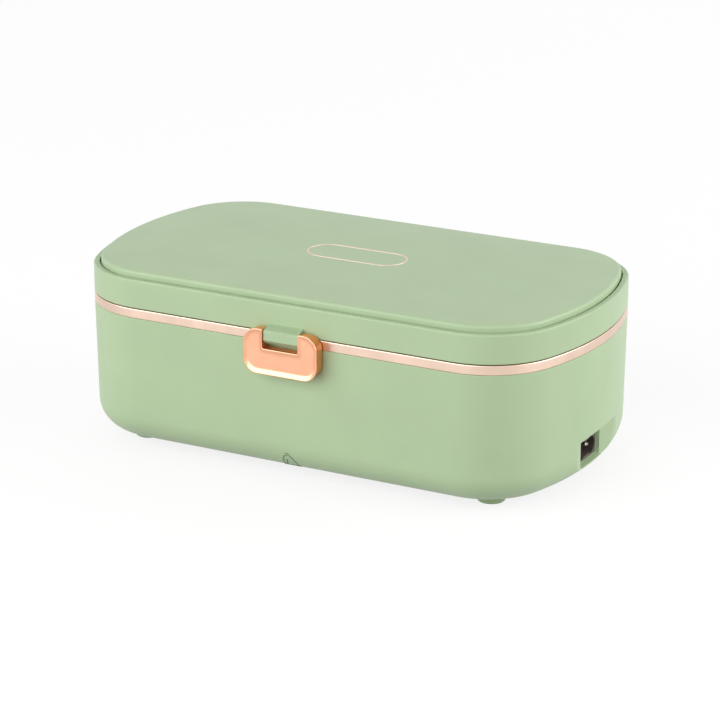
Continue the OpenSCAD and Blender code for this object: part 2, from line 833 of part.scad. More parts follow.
// Six leads. Each end is flush with its terminal and leaves it square.
module wiring_leads() {
    pins_x = pocket_x - inlet_depth - pin_tail;
    ptc_x = ptc_l / 2 + blade_l;
    ptc_z = ptc_blade_z + blade_t / 2;
    ptc_y = ptc_blade_y;
    tap_x = ptc_x - blade_l / 2;
    fuse_z = plate_under_z - fuse_r;
    thermo_y = thermo_blade_y + blade_t / 2;
    thermo_z = plate_under_z - thermo_h - thermo_blade_l / 2;
    lamp_end = lamp_y + lamp_l + lamp_leg_l;
    color("#b8453a") {
        lead([pins_x, pin_pitch / 2, inlet_z], [-9, 0, 0], [fuse_x, fuse_l / 2, fuse_z], [0, 12, 0]);
        lead([fuse_x, -fuse_l / 2, fuse_z], [0, -22, 0], [thermo_x, -thermo_y, thermo_z], [0, -22, 0]);
        lead([lamp_leg, lamp_end, lamp_z], [0, 14, 0], [tap_x, -ptc_y, ptc_blade_z], [0, 0, -14]);
    }
    color("#3f6fa8") {
        lead([thermo_x, thermo_y, thermo_z], [0, 11, 0], [-ptc_x, ptc_y, ptc_z], [-10, 0, 0]);
        lead([ptc_x, -ptc_y, ptc_z], [12, 0, -3], [pins_x, -pin_pitch / 2, inlet_z], [-12, 0, -2]);
        lead([-lamp_leg, lamp_end, lamp_z], [0, 14, 0], [-tap_x, ptc_y, ptc_blade_z], [0, 0, -14]);
    }
}

module indicator_lamp() {
    color("#e8d9b0") translate([0, lamp_y, lamp_z]) rotate([90, 0, 0]) {
        rod(lamp_r, -lamp_l, -lamp_r);
        rod(lamp_r + 0.4, -lamp_l - 1, -lamp_l + eps);
        translate([0, 0, -lamp_r]) sphere(lamp_r - eps, $fn = small_fn);
        for (x = [-1, 1]) translate([x * lamp_leg, 0, 0]) rod(0.3, -lamp_l - lamp_leg_l, -lamp_l);
    }
}

module lamp_holder() {
    color(cream) difference() {
        translate([-holder_w / 2, lamp_y + 3.6, ledge_top]) cube([holder_w, holder_t, holder_w]);
        translate([0, lamp_y, lamp_z]) rotate([90, 0, 0]) rod(lamp_r + fit, -lamp_l - cut, cut);
    }
}

// ---------- food tray ----------

module food_tray() {
    flange_s = tray_s + tray_t;
    inner_s = tray_wall_s + tray_t;
    color(steel) {
        around() difference() {
            union() {
                bowl_section(tray_wall_s, tray_z, tray_r, tray_lean, tray_top_z);
                strip(tray_s, corner_r, tray_top_z - tray_t, tray_top_z);
                strip(tray_s, flange_s, tray_top_z - roll_h, tray_top_z);
            }
            bowl_section(inner_s, tray_z + tray_t, tray_r - tray_t, tray_lean, tray_top_z + eps);
        }
        core(tray_z, tray_z + tray_t);
    }
}

module tray_cover() {
    color("#f2f1ec") difference() {
        union() {
            plate(lidding_s, cover_z, cover_z + lidding_t);
            ring(bead_s, bead_s + bead_w, cover_z + lidding_t - eps, cover_z + lidding_t + bead_h);
            ring(skirt_s, skirt_s + lidding_t, cover_z - skirt_h, cover_z + eps);
            for (x = [-1, 1]) translate([x * (hx - bead_s - tab_back), 0, cover_z + lidding_t - eps])
                linear_extrude(bead_h) pill(tab_w, 2 * corner_y - tab_w, tab_w / 2 - eps);
        }
        around() strip(skirt_s - eps, skirt_s + 0.5, seal_z, seal_z + seal_ring_h);
        translate([plug_x, 0, 0]) rod(plug_hole_r, cover_z - cut, cover_z + lidding_t + cut);
    }
}

module tray_seal() {
    lip_s = tray_wall_s + tray_t + 0.45;
    color(red) around() polygon([at(skirt_s + 0.5, seal_z), at(skirt_s + 0.5, seal_z + seal_ring_h),
        at(skirt_s - 0.2, seal_z + seal_ring_h), at(lip_s, seal_z + seal_ring_h * 0.6),
        at(lip_s, seal_z + seal_ring_h * 0.4), at(skirt_s - 0.2, seal_z)]);
}

module steam_plug() {
    seat_z = cover_z + lidding_t + fit;
    barb_z = cover_z - plug_travel - 0.3;
    color(red) translate([plug_x, 0, 0]) rotate_extrude($fn = small_fn)
        polygon([[0, barb_z - 2.4], [1.6, barb_z - 2.4], [plug_hole_r + 0.7, barb_z],
            [plug_hole_r - 0.5, barb_z], [plug_hole_r - 0.3, seat_z], [plug_cap_r - 0.5, seat_z],
            [plug_cap_r, seat_z + 0.5], [plug_cap_r - 0.6, seat_z + 1.7], [3, seat_z + 2.1],
            [0, seat_z + 2.1]]);
}

// ---------- lid ----------

module lug_profile() {
    y0 = hy + hinge_gap - 0.05;
    front = clasp_front - 1;
    polygon([[-hy + lid_wall / 2, lid_z + 0.4], [-y0, lid_z + 0.4], [-y0, lid_z - 3.2],
        [-y0 - 0.6, lid_z - 3.9], [-front + 1.4, lid_z - 3.9], [-front - 0.1, lid_z - 2.3],
        [-front - 0.1, lid_z + 1.6], [-front + 0.6, lid_z + 2.2], [-hy + lid_wall / 2, lid_z + 3.6]]);
}

module lid_knuckle() {
    side_profile(knuckle_w) {
        translate([hinge_y, hinge_z]) circle(knuckle_r, $fn = small_fn);
        polygon([[hy - lid_wall / 2, lid_z + 0.5], [hinge_y - knuckle_r * 0.8, lid_z + 0.5],
            [hinge_y, hinge_z], [hinge_y + knuckle_r * 0.7, hinge_z + knuckle_r * 0.7],
            [hy + 1.6, lid_z + 6.5], [hy - lid_wall / 2, lid_z + 7.5]]);
    }
}

module at_lid_screws() {
    for (x = [-lid_screw_x, 0, lid_screw_x], y = [-1, 1])
        translate([x, y * lid_screw_y, 0]) children();
}

module lid_shell() {
    color(sage) difference() {
        union() {
            around() difference() {
                strip(0, rim_w, lid_z, lid_rim_z);
                strip(lid_wall, rim_w + eps, lid_z - cut, deck_under_z);
                polygon([at(-eps, lid_rim_z - 0.7), at(-eps, lid_rim_z + eps), at(0.7, lid_rim_z + eps)]);
                polygon([at(-eps, lid_z - eps), at(-eps, lid_z + 0.3), at(0.3, lid_z - eps)]);
            }
            plate(rim_w - 0.4, deck_under_z, deck_z);
            side_profile(lug_w) lug_profile();
            for (side = [-1, 1]) translate([side * hinge_x, 0, 0]) lid_knuckle();
        }
        at_lid_screws() rod(small_screw_r + screw_gap, deck_under_z - cut, deck_z + cut);
        for (side = [-1, 1]) translate([side * hinge_x, hinge_y, hinge_z])
            cross_rod(hinge_pin_r + run_fit, knuckle_w + cut);
        translate([0, -clasp_pin_y, clasp_pin_z]) cross_rod(clasp_pin_r + thread_fit, lug_w + cut);
    }
}

// Section of the crowned panel, thinned by inset: an upright edge, a rounded edge and the dome
module crown_section(inset, z0) {
    meet_s = shoulder_s + inset * sin(dome_slope);
    intersection() {
        union() {
            strip(panel_s, meet_s, z0, crown_z);
            intersection() {
                translate(at(crown_s, crown_z)) circle(crown_r - inset, $fn = 360);
                strip(panel_s, meet_s, z0, top_z);
            }
            intersection() {
                translate(at(corner_r, top_z - dome_r)) circle(dome_r - inset, $fn = 720);
                strip(meet_s, corner_r, z0, top_z);
            }
        }
        strip(panel_s + inset, corner_r, z0, top_z);
    }
}

module lid_panel() {
    color(sage) difference() {
        union() {
            around() difference() {
                crown_section(0, deck_z);
                crown_section(panel_t, deck_z - cut);
            }
            core(panel_under_z, top_z);
            at_lid_screws() rod(lid_boss_r, deck_z, panel_under_z + panel_t / 4);
        }
        at_lid_screws() rod(small_screw_r + thread_fit, deck_z - cut, panel_under_z);
    }
}

module lid_liner() {
    color(cream) difference() {
        union() {
            around() {
                strip(liner_s, liner_wall_s + liner_t, liner_z, liner_z + liner_flange_t);
                strip(liner_wall_s, liner_wall_s + liner_t, liner_z, liner_top_z);
            }
            plate(liner_wall_s, liner_top_z - liner_t, liner_top_z);
        }
        around() strip(lid_seal_s, lid_seal_s + lid_seal_w, liner_z - cut, liner_z + lid_seal_depth);
        at_lid_screws() rod(small_screw_r + screw_gap, liner_top_z - liner_t - cut, liner_top_z + cut);
    }
}

module lid_seal() {
    bottom = well_top_z + 0.2;
    seat = liner_z + lid_seal_depth;
    color(red) around() polygon([at(lid_seal_s + fit, seat), at(lid_seal_s + fit, liner_z - 0.1),
        at(lid_seal_s + 0.7, bottom), at(lid_seal_s + lid_seal_w - 0.7, bottom),
        at(lid_seal_s + lid_seal_w - fit, liner_z - 0.1), at(lid_seal_s + lid_seal_w - fit, seat)]);
}

module lid_screws() {
    seat = liner_top_z - liner_t;
    color(steel) at_lid_screws() translate([0, 0, seat - small_head_h])
        screw(small_screw_r, panel_under_z - 0.4 - seat, small_head_r, small_head_h);
}

module hinge_pins() {
    l = 2 * (ear_x + ear_t);
    color(steel) for (side = [-1, 1]) translate([side * hinge_x, hinge_y, hinge_z]) {
        translate([eps / 2, 0, 0]) cross_rod(hinge_pin_r, l + eps);
        translate([(l + pin_head) / 2, 0, 0]) cross_rod(hinge_pin_r + 0.8, pin_head);
    }
}

// ---------- clasp ----------

module clasp_pin() {
    color(steel) translate([0, -clasp_pin_y, clasp_pin_z]) cross_rod(clasp_pin_r, clasp_w - 9);
}

// Front outline of the clasp, drawn in from its edge; x across, y up
module clasp_outline(inset) {
    difference() {
        translate([0, clasp_bottom + clasp_h / 2])
            pill(clasp_w - 2 * inset, clasp_h - 2 * inset, clasp_r - inset);
        translate([-notch_w / 2 - inset, notch_z - inset])
            square([notch_w + 2 * inset, notch_d + cut + inset]);
    }
}

// Layer of the clasp between two distances from the case's middle plane
module clasp_layer(inset, y0, y1) {
    translate([0, -y0, 0]) rotate([90, 0, 0]) linear_extrude(y1 - y0) clasp_outline(inset);
}

module clasp_lever() {
    back = hy + hinge_gap;
    front = back + lever_t;
    pocket_w = catch_w + 2;
    color("#c98a5c") difference() {
        clasp_layer(0.5, back, front);
        // rounds the arms' rear top edge about the pin
        translate([0, -clasp_pin_y, clasp_pin_z]) difference() {
            translate([-clasp_w / 2 - cut, 0, 0]) cube([clasp_w + 2 * cut, clasp_out, clasp_out]);
            cross_rod(barrel_r, clasp_w + 4 * cut);
        }
        translate([-pocket_w / 2, -back - 2.1, catch_z - 0.6]) cube([pocket_w, 2.1 + cut, catch_h + 2]);
        translate([-pocket_w / 2, -hy - catch_out - 0.15, clasp_bottom - cut])
            cube([pocket_w, catch_out, catch_h + cut + 2]);
        translate([0, -clasp_pin_y, clasp_pin_z]) cross_rod(clasp_pin_r + run_fit, clasp_w - 8.6);
    }
}

module clasp_cover() {
    back = clasp_front - cover_t;
    color(rose) difference() {
        clasp_layer(0, back, clasp_front);
        clasp_layer(1.8, clasp_front - 0.7, clasp_front + cut);
    }
}

body_shell();
trim_band();
well_liner();
base_cover();
base_screws();
rubber_feet();
heat_plate();
plate_seal();
plate_nuts();
ptc_heater();
heater_clamp();
thermostat();
thermal_fuse();
fuse_clip();
element_screws();
inlet_socket();
inlet_pins();
inlet_screws();
wiring_leads();
indicator_lamp();
lamp_holder();
hinge_pins();
food_tray();
tray_cover();
tray_seal();
steam_plug();
lid_shell();
lid_panel();
lid_liner();
lid_seal();
lid_screws();
clasp_pin();
clasp_lever();
clasp_cover();
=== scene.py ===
"""Electric lunch box: finishes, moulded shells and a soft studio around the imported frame."""

import json
import logging
import math
from dataclasses import dataclass
from enum import Enum
from typing import Callable, Iterable, Optional, Sequence

import bmesh
import bpy
from mathutils import Matrix, Vector


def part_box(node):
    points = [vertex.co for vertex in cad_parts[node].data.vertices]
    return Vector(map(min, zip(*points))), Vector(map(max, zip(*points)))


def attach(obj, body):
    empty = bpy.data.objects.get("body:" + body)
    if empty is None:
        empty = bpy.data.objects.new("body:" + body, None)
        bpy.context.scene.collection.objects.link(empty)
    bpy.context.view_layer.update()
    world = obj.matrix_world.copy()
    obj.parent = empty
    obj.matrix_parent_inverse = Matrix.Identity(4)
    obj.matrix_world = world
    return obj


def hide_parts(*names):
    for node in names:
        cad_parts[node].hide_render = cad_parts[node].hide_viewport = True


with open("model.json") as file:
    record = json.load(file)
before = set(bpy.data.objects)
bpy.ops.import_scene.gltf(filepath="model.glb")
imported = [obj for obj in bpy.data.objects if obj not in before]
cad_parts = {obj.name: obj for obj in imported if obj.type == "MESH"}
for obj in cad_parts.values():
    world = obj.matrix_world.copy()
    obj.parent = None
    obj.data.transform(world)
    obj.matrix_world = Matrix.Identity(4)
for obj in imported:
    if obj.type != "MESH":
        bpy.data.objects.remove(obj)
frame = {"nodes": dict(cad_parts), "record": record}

LOG = logging.getLogger("lunch_box")
MM = 0.001

Pair = tuple[float, float]
Corner = tuple[float, float, float]
Colour = tuple[float, float, float]
Sheet = bmesh.types.BMesh
Socket = bpy.types.NodeSocket

# The rear hinge: y and z of its axis, and how far along X its two knuckles stand from the middle.
HINGE: Pair = (68.5 * MM, 67.4 * MM)
HINGE_X = 45 * MM

# The radius that stands for the axis of a turned shape, what counts as one point or as flat in a
# CAD mesh, and the range in which noise mostly lies.
AXIS_R = 0.01 * MM
DOUBLES = 0.002 * MM
FLAT_TURN = math.radians(1.2)
NOISE_RANGE: Pair = (0.3, 0.7)


def placed(name: str, data: bpy.types.ID) -> bpy.types.Object:
    """A new object in the scene that shows a mesh, a camera or a lamp.

    Args:
        name: Name of the object.
        data: The mesh, camera or lamp.

    Returns:
        The new object.
    """
    thing = bpy.data.objects.new(name, data)
    bpy.context.scene.collection.objects.link(thing)
    return thing


def heights(node: str) -> Pair:
    """Lowest and highest z of a CAD node."""
    low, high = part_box(node)
    return low[2], high[2]


def direction(azimuth: float, elevation: float) -> Vector:
    """Unit vector towards a place given in degrees round from -Y to +X and above the floor.

    Args:
        azimuth: Degrees round from -Y towards +X.
        elevation: Degrees above the floor.

    Returns:
        The vector.
    """
    turn, lift = math.radians(azimuth), math.radians(elevation)
    level = math.cos(lift)
    return Vector((math.sin(turn) * level, -math.cos(turn) * level, math.sin(lift)))


def turns(count: int, step: float, start: float = 0.0) -> list[float]:
    """Even angles in radians, from a start and a step in degrees."""
    return [math.radians(start + step * i) for i in range(count)]


# ---------------------------------------------------------------- finishes


class Metal(Enum):
    """How a metal surface was worked, as the scale of its fine lines along each axis."""

    POLISHED = (1.0, 1.0, 1.0)
    BRUSHED_X = (0.04, 1.0, 1.0)


def srgb(red: int, green: int, blue: int) -> Colour:
    """Linear colour of an 8-bit display colour.

    Args:
        red: Red from 0 to 255.
        green: Green from 0 to 255.
        blue: Blue from 0 to 255.

    Returns:
        The three linear values.
    """
    def linear(value: int) -> float:
        """Linear value of one channel."""
        share = value / 255
        return share / 12.92 if share <= 0.04045 else ((share + 0.055) / 1.055) ** 2.4

    return linear(red), linear(green), linear(blue)


class NodeSheet:
    """A material's node tree with short calls for the nodes that the finishes use."""

    def __init__(self, name: str) -> None:
        """Starts a material with only a Principled shader and its output.

        Args:
            name: Name of the material.
        """
        self.material = bpy.data.materials.new(name)
        self.material.use_nodes = True
        self.tree = self.material.node_tree
        self.shader = self.tree.nodes["Principled BSDF"]
        self.coords = self.add("ShaderNodeTexCoord").outputs["Object"]

    def add(self, kind: str, **settings: object) -> bpy.types.Node:
        """Adds one node.

        Args:
            kind: Blender's name of the node type.
            **settings: Properties of the node.

        Returns:
            The new node.
        """
        node = self.tree.nodes.new(kind)
        for name, value in settings.items():
            setattr(node, name, value)
        return node

    def wire(self, source: Socket, target: Socket) -> None:
        """Links two sockets."""
        self.tree.links.new(source, target)

    def noise(self, size: float, detail: float = 2.0, stretch: Sequence[float] = (1, 1, 1),
              rough: float = 0.5) -> Socket:
        """Noise on object coordinates.

        Args:
            size: Size of one grain in metres.
            detail: Number of finer octaves.
            stretch: Scale along each axis, below 1 where the grain runs long.
            rough: Strength of the finer octaves.

        Returns:
            The socket with the noise value.
        """
        mapping = self.add("ShaderNodeMapping")
        mapping.inputs["Scale"].default_value = stretch
        self.wire(self.coords, mapping.inputs["Vector"])
        noise = self.add("ShaderNodeTexNoise")
        noise.inputs["Scale"].default_value = 1 / size
        noise.inputs["Detail"].default_value = detail
        noise.inputs["Roughness"].default_value = rough
        self.wire(mapping.outputs["Vector"], noise.inputs["Vector"])
        return noise.outputs["Fac"]

    def remap(self, value: Socket, low: float, high: float) -> Socket:
        """Moves a noise value from the range that noise mostly keeps to another range.

        Args:
            value: The noise value.
            low: Low end of the new range.
            high: High end of the new range.

        Returns:
            The socket with the moved value.
        """
        node = self.add("ShaderNodeMapRange")
        names = ("From Min", "From Max", "To Min", "To Max")
        for name, limit in zip(names, (*NOISE_RANGE, low, high)):
            node.inputs[name].default_value = limit
        self.wire(value, node.inputs["Value"])
        return node.outputs["Result"]

    def tint(self, value: Socket, first: Colour, second: Colour) -> None:
        """Blends two colours by a noise value and gives the shader its base colour.

        Args:
            value: Noise value that picks between the colours.
            first: Colour at the low end.
            second: Colour at the high end.
        """
        ramp = self.add("ShaderNodeValToRGB")
        for stop, place, colour in zip(ramp.color_ramp.elements, NOISE_RANGE, (first, second)):
            stop.position = place
            stop.color = (*colour, 1)
        self.wire(value, ramp.inputs["Fac"])
        self.wire(ramp.outputs["Color"], self.shader.inputs["Base Color"])

    def bump(self, value: Socket, height: float, strength: float) -> None:
        """Raises the surface by a value.

        Args:
            value: The value that raises it.
            height: Most height in metres.
            strength: Share of the height that shading shows.
        """
        node = self.add("ShaderNodeBump")
        node.inputs["Distance"].default_value = height
        node.inputs["Strength"].default_value = strength
        self.wire(value, node.inputs["Height"])
        self.wire(node.outputs["Normal"], self.shader.inputs["Normal"])

    def roughen(self, value: Socket) -> None:
        """Gives the shader its roughness."""
        self.wire(value, self.shader.inputs["Roughness"])

    def fixed(self, **values: float) -> None:
        """Sets plain values on the shader's own sockets, with _ for a space in their names."""
        for name, value in values.items():
            self.shader.inputs[name.replace("_", " ")].default_value = value


def shade(colour: Colour, factor: float) -> Colour:
    """The colour made lighter or darker by a factor."""
    return tuple(min(1.0, channel * factor) for channel in colour)


@dataclass(frozen=True)
class MouldedPlastic:
    """Injection-moulded plastic with a fine spark-eroded grain and faint cloudiness."""

    name: str
    colour: Colour
    rough: float = 0.38
    grain: float = 0.35 * MM
    grain_height: float = 0.006 * MM
    cloud: float = 0.03
    vary: float = 0.03
    coat: float = 0.0
    see_through: float = 0.0

    def build(self) -> bpy.types.Material:
        """Returns the finished material.

        Returns:
            The material.
        """
        sheet = NodeSheet(self.name)
        broad = sheet.noise(28 * MM, detail=3)
        sheet.tint(broad, shade(self.colour, 1 - self.cloud), shade(self.colour, 1 + self.cloud))
        fine = sheet.noise(self.grain, detail=2)
        sheet.roughen(sheet.remap(fine, self.rough - self.vary, self.rough + self.vary))
        sheet.bump(fine, self.grain_height, 0.5)
        sheet.fixed(IOR=1.5, Coat_Weight=self.coat, Coat_Roughness=0.15,
                    Transmission_Weight=self.see_through)
        return sheet.material


@dataclass(frozen=True)
class WorkedMetal:
    """Metal with worked lines or a polish, slight smears and a varying gloss."""

    name: str
    colour: Colour
    rough: float = 0.2
    work: Metal = Metal.POLISHED
    line: float = 0.25 * MM
    line_height: float = 0.003 * MM
    smear: float = 0.05
    tones: Pair = (0.95, 1.04)
    metal: float = 1.0

    def build(self) -> bpy.types.Material:
        """Returns the finished material.

        Returns:
            The material.
        """
        sheet = NodeSheet(self.name)
        smears = sheet.noise(16 * MM, detail=4, rough=0.6)
        sheet.tint(smears, *(shade(self.colour, tone) for tone in self.tones))
        lines = sheet.noise(self.line, detail=3, stretch=self.work.value)
        mix = sheet.add("ShaderNodeMath", operation="ADD")
        broad = sheet.remap(smears, self.rough - self.smear / 2, self.rough + self.smear)
        sheet.wire(broad, mix.inputs[0])
        sheet.wire(sheet.remap(lines, -self.smear / 3, self.smear / 3), mix.inputs[1])
        sheet.roughen(mix.outputs["Value"])
        sheet.bump(lines, self.line_height, 0.4)
        sheet.fixed(Metallic=self.metal)
        return sheet.material


@dataclass(frozen=True)
class SoftRubber:
    """Silicone or rubber: dull, dusty in the fine grain, with a slight sheen."""

    name: str
    colour: Colour
    rough: float = 0.6
    vary: Pair = (0.06, 0.08)
    tones: Pair = (0.93, 1.05)

    def build(self) -> bpy.types.Material:
        """Returns the finished material.

        Returns:
            The material.
        """
        sheet = NodeSheet(self.name)
        dust = sheet.noise(6 * MM, detail=5, rough=0.7)
        sheet.tint(dust, *(shade(self.colour, tone) for tone in self.tones))
        fine = sheet.noise(0.2 * MM, detail=3)
        sheet.roughen(sheet.remap(fine, self.rough - self.vary[0], self.rough + self.vary[1]))
        sheet.bump(fine, 0.01 * MM, 0.6)
        sheet.fixed(Sheen_Weight=0.15, Sheen_Roughness=0.4)
        return sheet.material


SAGE = srgb(173, 195, 156)
ROSE = srgb(238, 178, 145)
PALE_ROSE = srgb(226, 199, 181)
COPPER = srgb(240, 158, 88)
DULL_STEEL = srgb(190, 192, 194)

FINISHES = {
    "sage_shell": MouldedPlastic("sage_moulding", SAGE, rough=0.42),
    "rose_trim": WorkedMetal("rose_gold_plate", ROSE, rough=0.32, line_height=0.001 * MM),
    "pale_band": WorkedMetal("pale_band_plate", PALE_ROSE, rough=0.32, line_height=0.001 * MM),
    "rose_lever": WorkedMetal("copper_lever", COPPER, rough=0.3, line_height=0.001 * MM, metal=0.6),
    "cream_plastic": MouldedPlastic("cream_moulding", srgb(232, 229, 218), rough=0.42),
    "clear_cover": MouldedPlastic("milky_cover", srgb(238, 238, 232), rough=0.22, see_through=0.25),
    "green_rubber": SoftRubber("sage_rubber", srgb(160, 184, 142)),
    "white_silicone": SoftRubber("white_silicone", srgb(228, 228, 222), rough=0.5),
    "tray_steel": WorkedMetal("brushed_tray_steel", srgb(205, 207, 208), rough=0.26,
                              work=Metal.BRUSHED_X, line_height=0.004 * MM),
    "screw_steel": WorkedMetal("zinc_plated_steel", DULL_STEEL, rough=0.28, line=0.12 * MM),
    "plate_aluminium": WorkedMetal("cast_aluminium", DULL_STEEL, rough=0.38, line=0.6 * MM,
                                   line_height=0.01 * MM, smear=0.12),
    "element_white": MouldedPlastic("insulating_film", srgb(222, 216, 198), rough=0.5, cloud=0.06),
    "black_bakelite": MouldedPlastic("black_bakelite", srgb(92, 80, 77), rough=0.42, cloud=0.08),
    "pin_metal": WorkedMetal("nickel_plate", srgb(214, 210, 200), rough=0.15, line=0.1 * MM),
    "wire_sleeve": SoftRubber("silicone_sleeving", srgb(176, 66, 52), rough=0.45),
    "print": MouldedPlastic("pad_print", srgb(104, 132, 88), rough=0.5),
    "lamp_lens": MouldedPlastic("amber_lens", srgb(240, 214, 160), rough=0.12, coat=0.4,
                                see_through=0.5),
}


# ---------------------------------------------------------------- outline and sections


@dataclass(frozen=True)
class Outline:
    """Plan outline of the case: long straight sides, round corners and bowed short ends."""

    length: float
    width: float
    corner_r: float = 36 * MM
    end_r: float = 128 * MM
    corner_steps: int = 28
    end_steps: int = 20
    side_steps: int = 24
    least_turn: float = 0.0015

    def arcs(self) -> tuple[float, float, float, float]:
        """Half the angle of an end's bow, its centre's x, and the corner centre's x and y.

        Returns:
            The four values, in that order, with the angle in radians.
        """
        corner_y = self.width / 2 - self.corner_r
        half = math.asin(corner_y / (self.end_r - self.corner_r))
        bow = corner_y / math.sin(half) * (1 - math.cos(half))
        corner_x = self.length / 2 - self.corner_r - bow
        return half, corner_x - corner_y / math.tan(half), corner_x, corner_y

    def stations(self, extra_y: Sequence[float] = ()) -> list[tuple[Vector, Vector]]:
        """Places along the edge, anticlockwise from the +X end's lower corner.

        Args:
            extra_y: Places across the +X end that need a station of their own.

        Returns:
            Pairs of a point on the edge and its outward normal.
        """
        half, end_x, corner_x, corner_y = self.arcs()
        bow = [-half + 2 * half * i / self.end_steps for i in range(self.end_steps + 1)]
        near = [math.asin(y / self.end_r) for y in extra_y]
        kept = [a for a in bow if all(abs(a - b) > self.least_turn for b in near)]
        steps = range(1, self.corner_steps + 1)
        turn = [half + (math.pi / 2 - half) * i / self.corner_steps for i in steps]
        places: list[tuple[Vector, Vector]] = []

        def arc(centre: Pair, radius: float, angles: Iterable[float]) -> None:
            """Adds the places of one arc.

            Args:
                centre: Centre of the arc.
                radius: Radius of the arc.
                angles: Angles of the places, in radians.
            """
            for angle in angles:
                normal = Vector((math.cos(angle), math.sin(angle)))
                places.append((Vector(centre) + radius * normal, normal))

        side = [corner_x * (1 - 2 * i / self.side_steps) for i in range(1, self.side_steps)]
        arc((end_x, 0), self.end_r, sorted(kept + near))
        arc((corner_x, corner_y), self.corner_r, turn)
        places.extend((Vector((x, self.width / 2)), Vector((0, 1))) for x in side)
        arc((-corner_x, corner_y), self.corner_r, [math.pi - a for a in reversed(turn)])
        arc((-end_x, 0), self.end_r, [math.pi + a for a in bow])
        arc((-corner_x, -corner_y), self.corner_r, [math.pi + a for a in turn])
        places.extend((Vector((-x, -self.width / 2)), Vector((0, -1))) for x in side)
        arc((corner_x, -corner_y), self.corner_r, [2 * math.pi - a for a in reversed(turn)])
        return places


def rounded(corners: Sequence[Corner], closed: bool = True, step: float = 14) -> list[Pair]:
    """Rounds the corners of an outline.

    Args:
        corners: Corner points, each with the radius of its rounding.
        closed: Whether the last corner joins the first.
        step: Most degrees that one facet of a rounding turns.

    Returns:
        The points of the rounded outline.
    """
    points: list[Pair] = []
    count = len(corners)
    for index, (x, y, radius) in enumerate(corners):
        at_end = not closed and index in (0, count - 1)
        if radius <= 0 or at_end:
            points.append((x, y))
            continue
        here = Vector((x, y))
        before = (Vector(corners[index - 1][:2]) - here).normalized()
        after = (Vector(corners[(index + 1) % count][:2]) - here).normalized()
        opening = before.angle(after)
        reach = radius / math.tan(opening / 2)
        centre = here + (before + after).normalized() * (radius / math.sin(opening / 2))
        start = here + before * reach - centre
        turn = math.pi - opening
        facets = max(2, math.ceil(math.degrees(turn) / step))
        sense = 1 if before.x * after.y - before.y * after.x < 0 else -1
        for i in range(facets + 1):
            spun = Matrix.Rotation(sense * turn * i / facets, 2) @ start
            points.append(tuple(centre + spun))
    return points


def inset(corners: Sequence[Corner], depth: float, least: float = 0.05 * MM) -> list[Corner]:
    """Moves every side of a corner outline inwards and keeps the roundings concentric.

    Args:
        corners: Corner points with radii, anticlockwise.
        depth: Distance that the sides move.
        least: Smallest radius that is left at a corner.

    Returns:
        The corners of the smaller outline.
    """
    moved: list[Corner] = []
    count = len(corners)
    for index, (x, y, radius) in enumerate(corners):
        here = Vector((x, y))
        before = (here - Vector(corners[index - 1][:2])).normalized()
        after = (Vector(corners[(index + 1) % count][:2]) - here).normalized()
        normal_before = Vector((-before.y, before.x))
        normal_after = Vector((-after.y, after.x))
        across = (normal_before + normal_after).normalized()
        place = here + across * (depth / across.dot(normal_after))
        convex = before.x * after.y - before.y * after.x > 0
        moved.append((place.x, place.y, max(least, radius - depth if convex else radius + depth)))
    return moved


# ---------------------------------------------------------------- meshes


class Piece:
    """A mesh piece that rides on a body of the frame."""

    def __init__(self, name: str, sheet: Sheet, crease: float = 32) -> None:
        """Makes the object from a mesh and shades it smooth up to a crease angle.

        Args:
            name: Name of the piece.
            sheet: The mesh, which is freed.
            crease: Angle in degrees above which an edge stays sharp.
        """
        bmesh.ops.recalc_face_normals(sheet, faces=sheet.faces)
        data = bpy.data.meshes.new(name)
        sheet.to_mesh(data)
        sheet.free()
        data.shade_smooth()
        data.set_sharp_from_angle(angle=math.radians(crease))
        self.object = placed(name, data)

    def bevel(self, width: float, segments: int = 3, angle: float = 34) -> "Piece":
        """Rounds the edges that are sharper than an angle.

        Args:
            width: Width of the rounding in metres.
            segments: Facets across it.
            angle: Angle in degrees above which an edge is rounded.

        Returns:
            The piece itself.
        """
        edge = self.object.modifiers.new("edge", "BEVEL")
        edge.width = width
        edge.segments = segments
        edge.limit_method = "ANGLE"
        edge.angle_limit = math.radians(angle)
        edge.harden_normals = False
        edge.miter_outer = "MITER_ARC"
        return self.weighted()

    def weighted(self) -> "Piece":
        """Keeps broad faces flat in shading where they meet small roundings.

        Returns:
            The piece itself.
        """
        normals = self.object.modifiers.new("normals", "WEIGHTED_NORMAL")
        normals.keep_sharp = True
        return self

    def dress(self, slot: str, body: str, *nodes: str, finish: Optional[str] = None) -> "Piece":
        """Gives the piece its finish, its body and the nodes it stands for.

        Args:
            slot: Material slot of the record, which also names the finish.
            body: Body of the frame that the piece rides on.
            *nodes: CAD nodes that it replaces.
            finish: Finish to wear where it isn't the slot's own.

        Returns:
            The piece itself.
        """
        self.object.data.materials.clear()
        self.object.data.materials.append(Wardrobe.of(finish or slot))
        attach(self.object, body)
        if nodes:
            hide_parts(*nodes)
        LOG.info("%s rides on %s", self.object.name, body)
        return self


class Wardrobe:
    """The finished materials, each made once."""

    made: dict[str, bpy.types.Material] = {}

    @classmethod
    def of(cls, slot: str) -> bpy.types.Material:
        """The material of a slot.

        Args:
            slot: Name of a finish.

        Returns:
            The material.
        """
        if slot not in cls.made:
            cls.made[slot] = FINISHES[slot].build()
        return cls.made[slot]


def neighbours(count: int) -> list[tuple[int, int]]:
    """Each place of a closed loop, with the next one."""
    return [(i, (i + 1) % count) for i in range(count)]


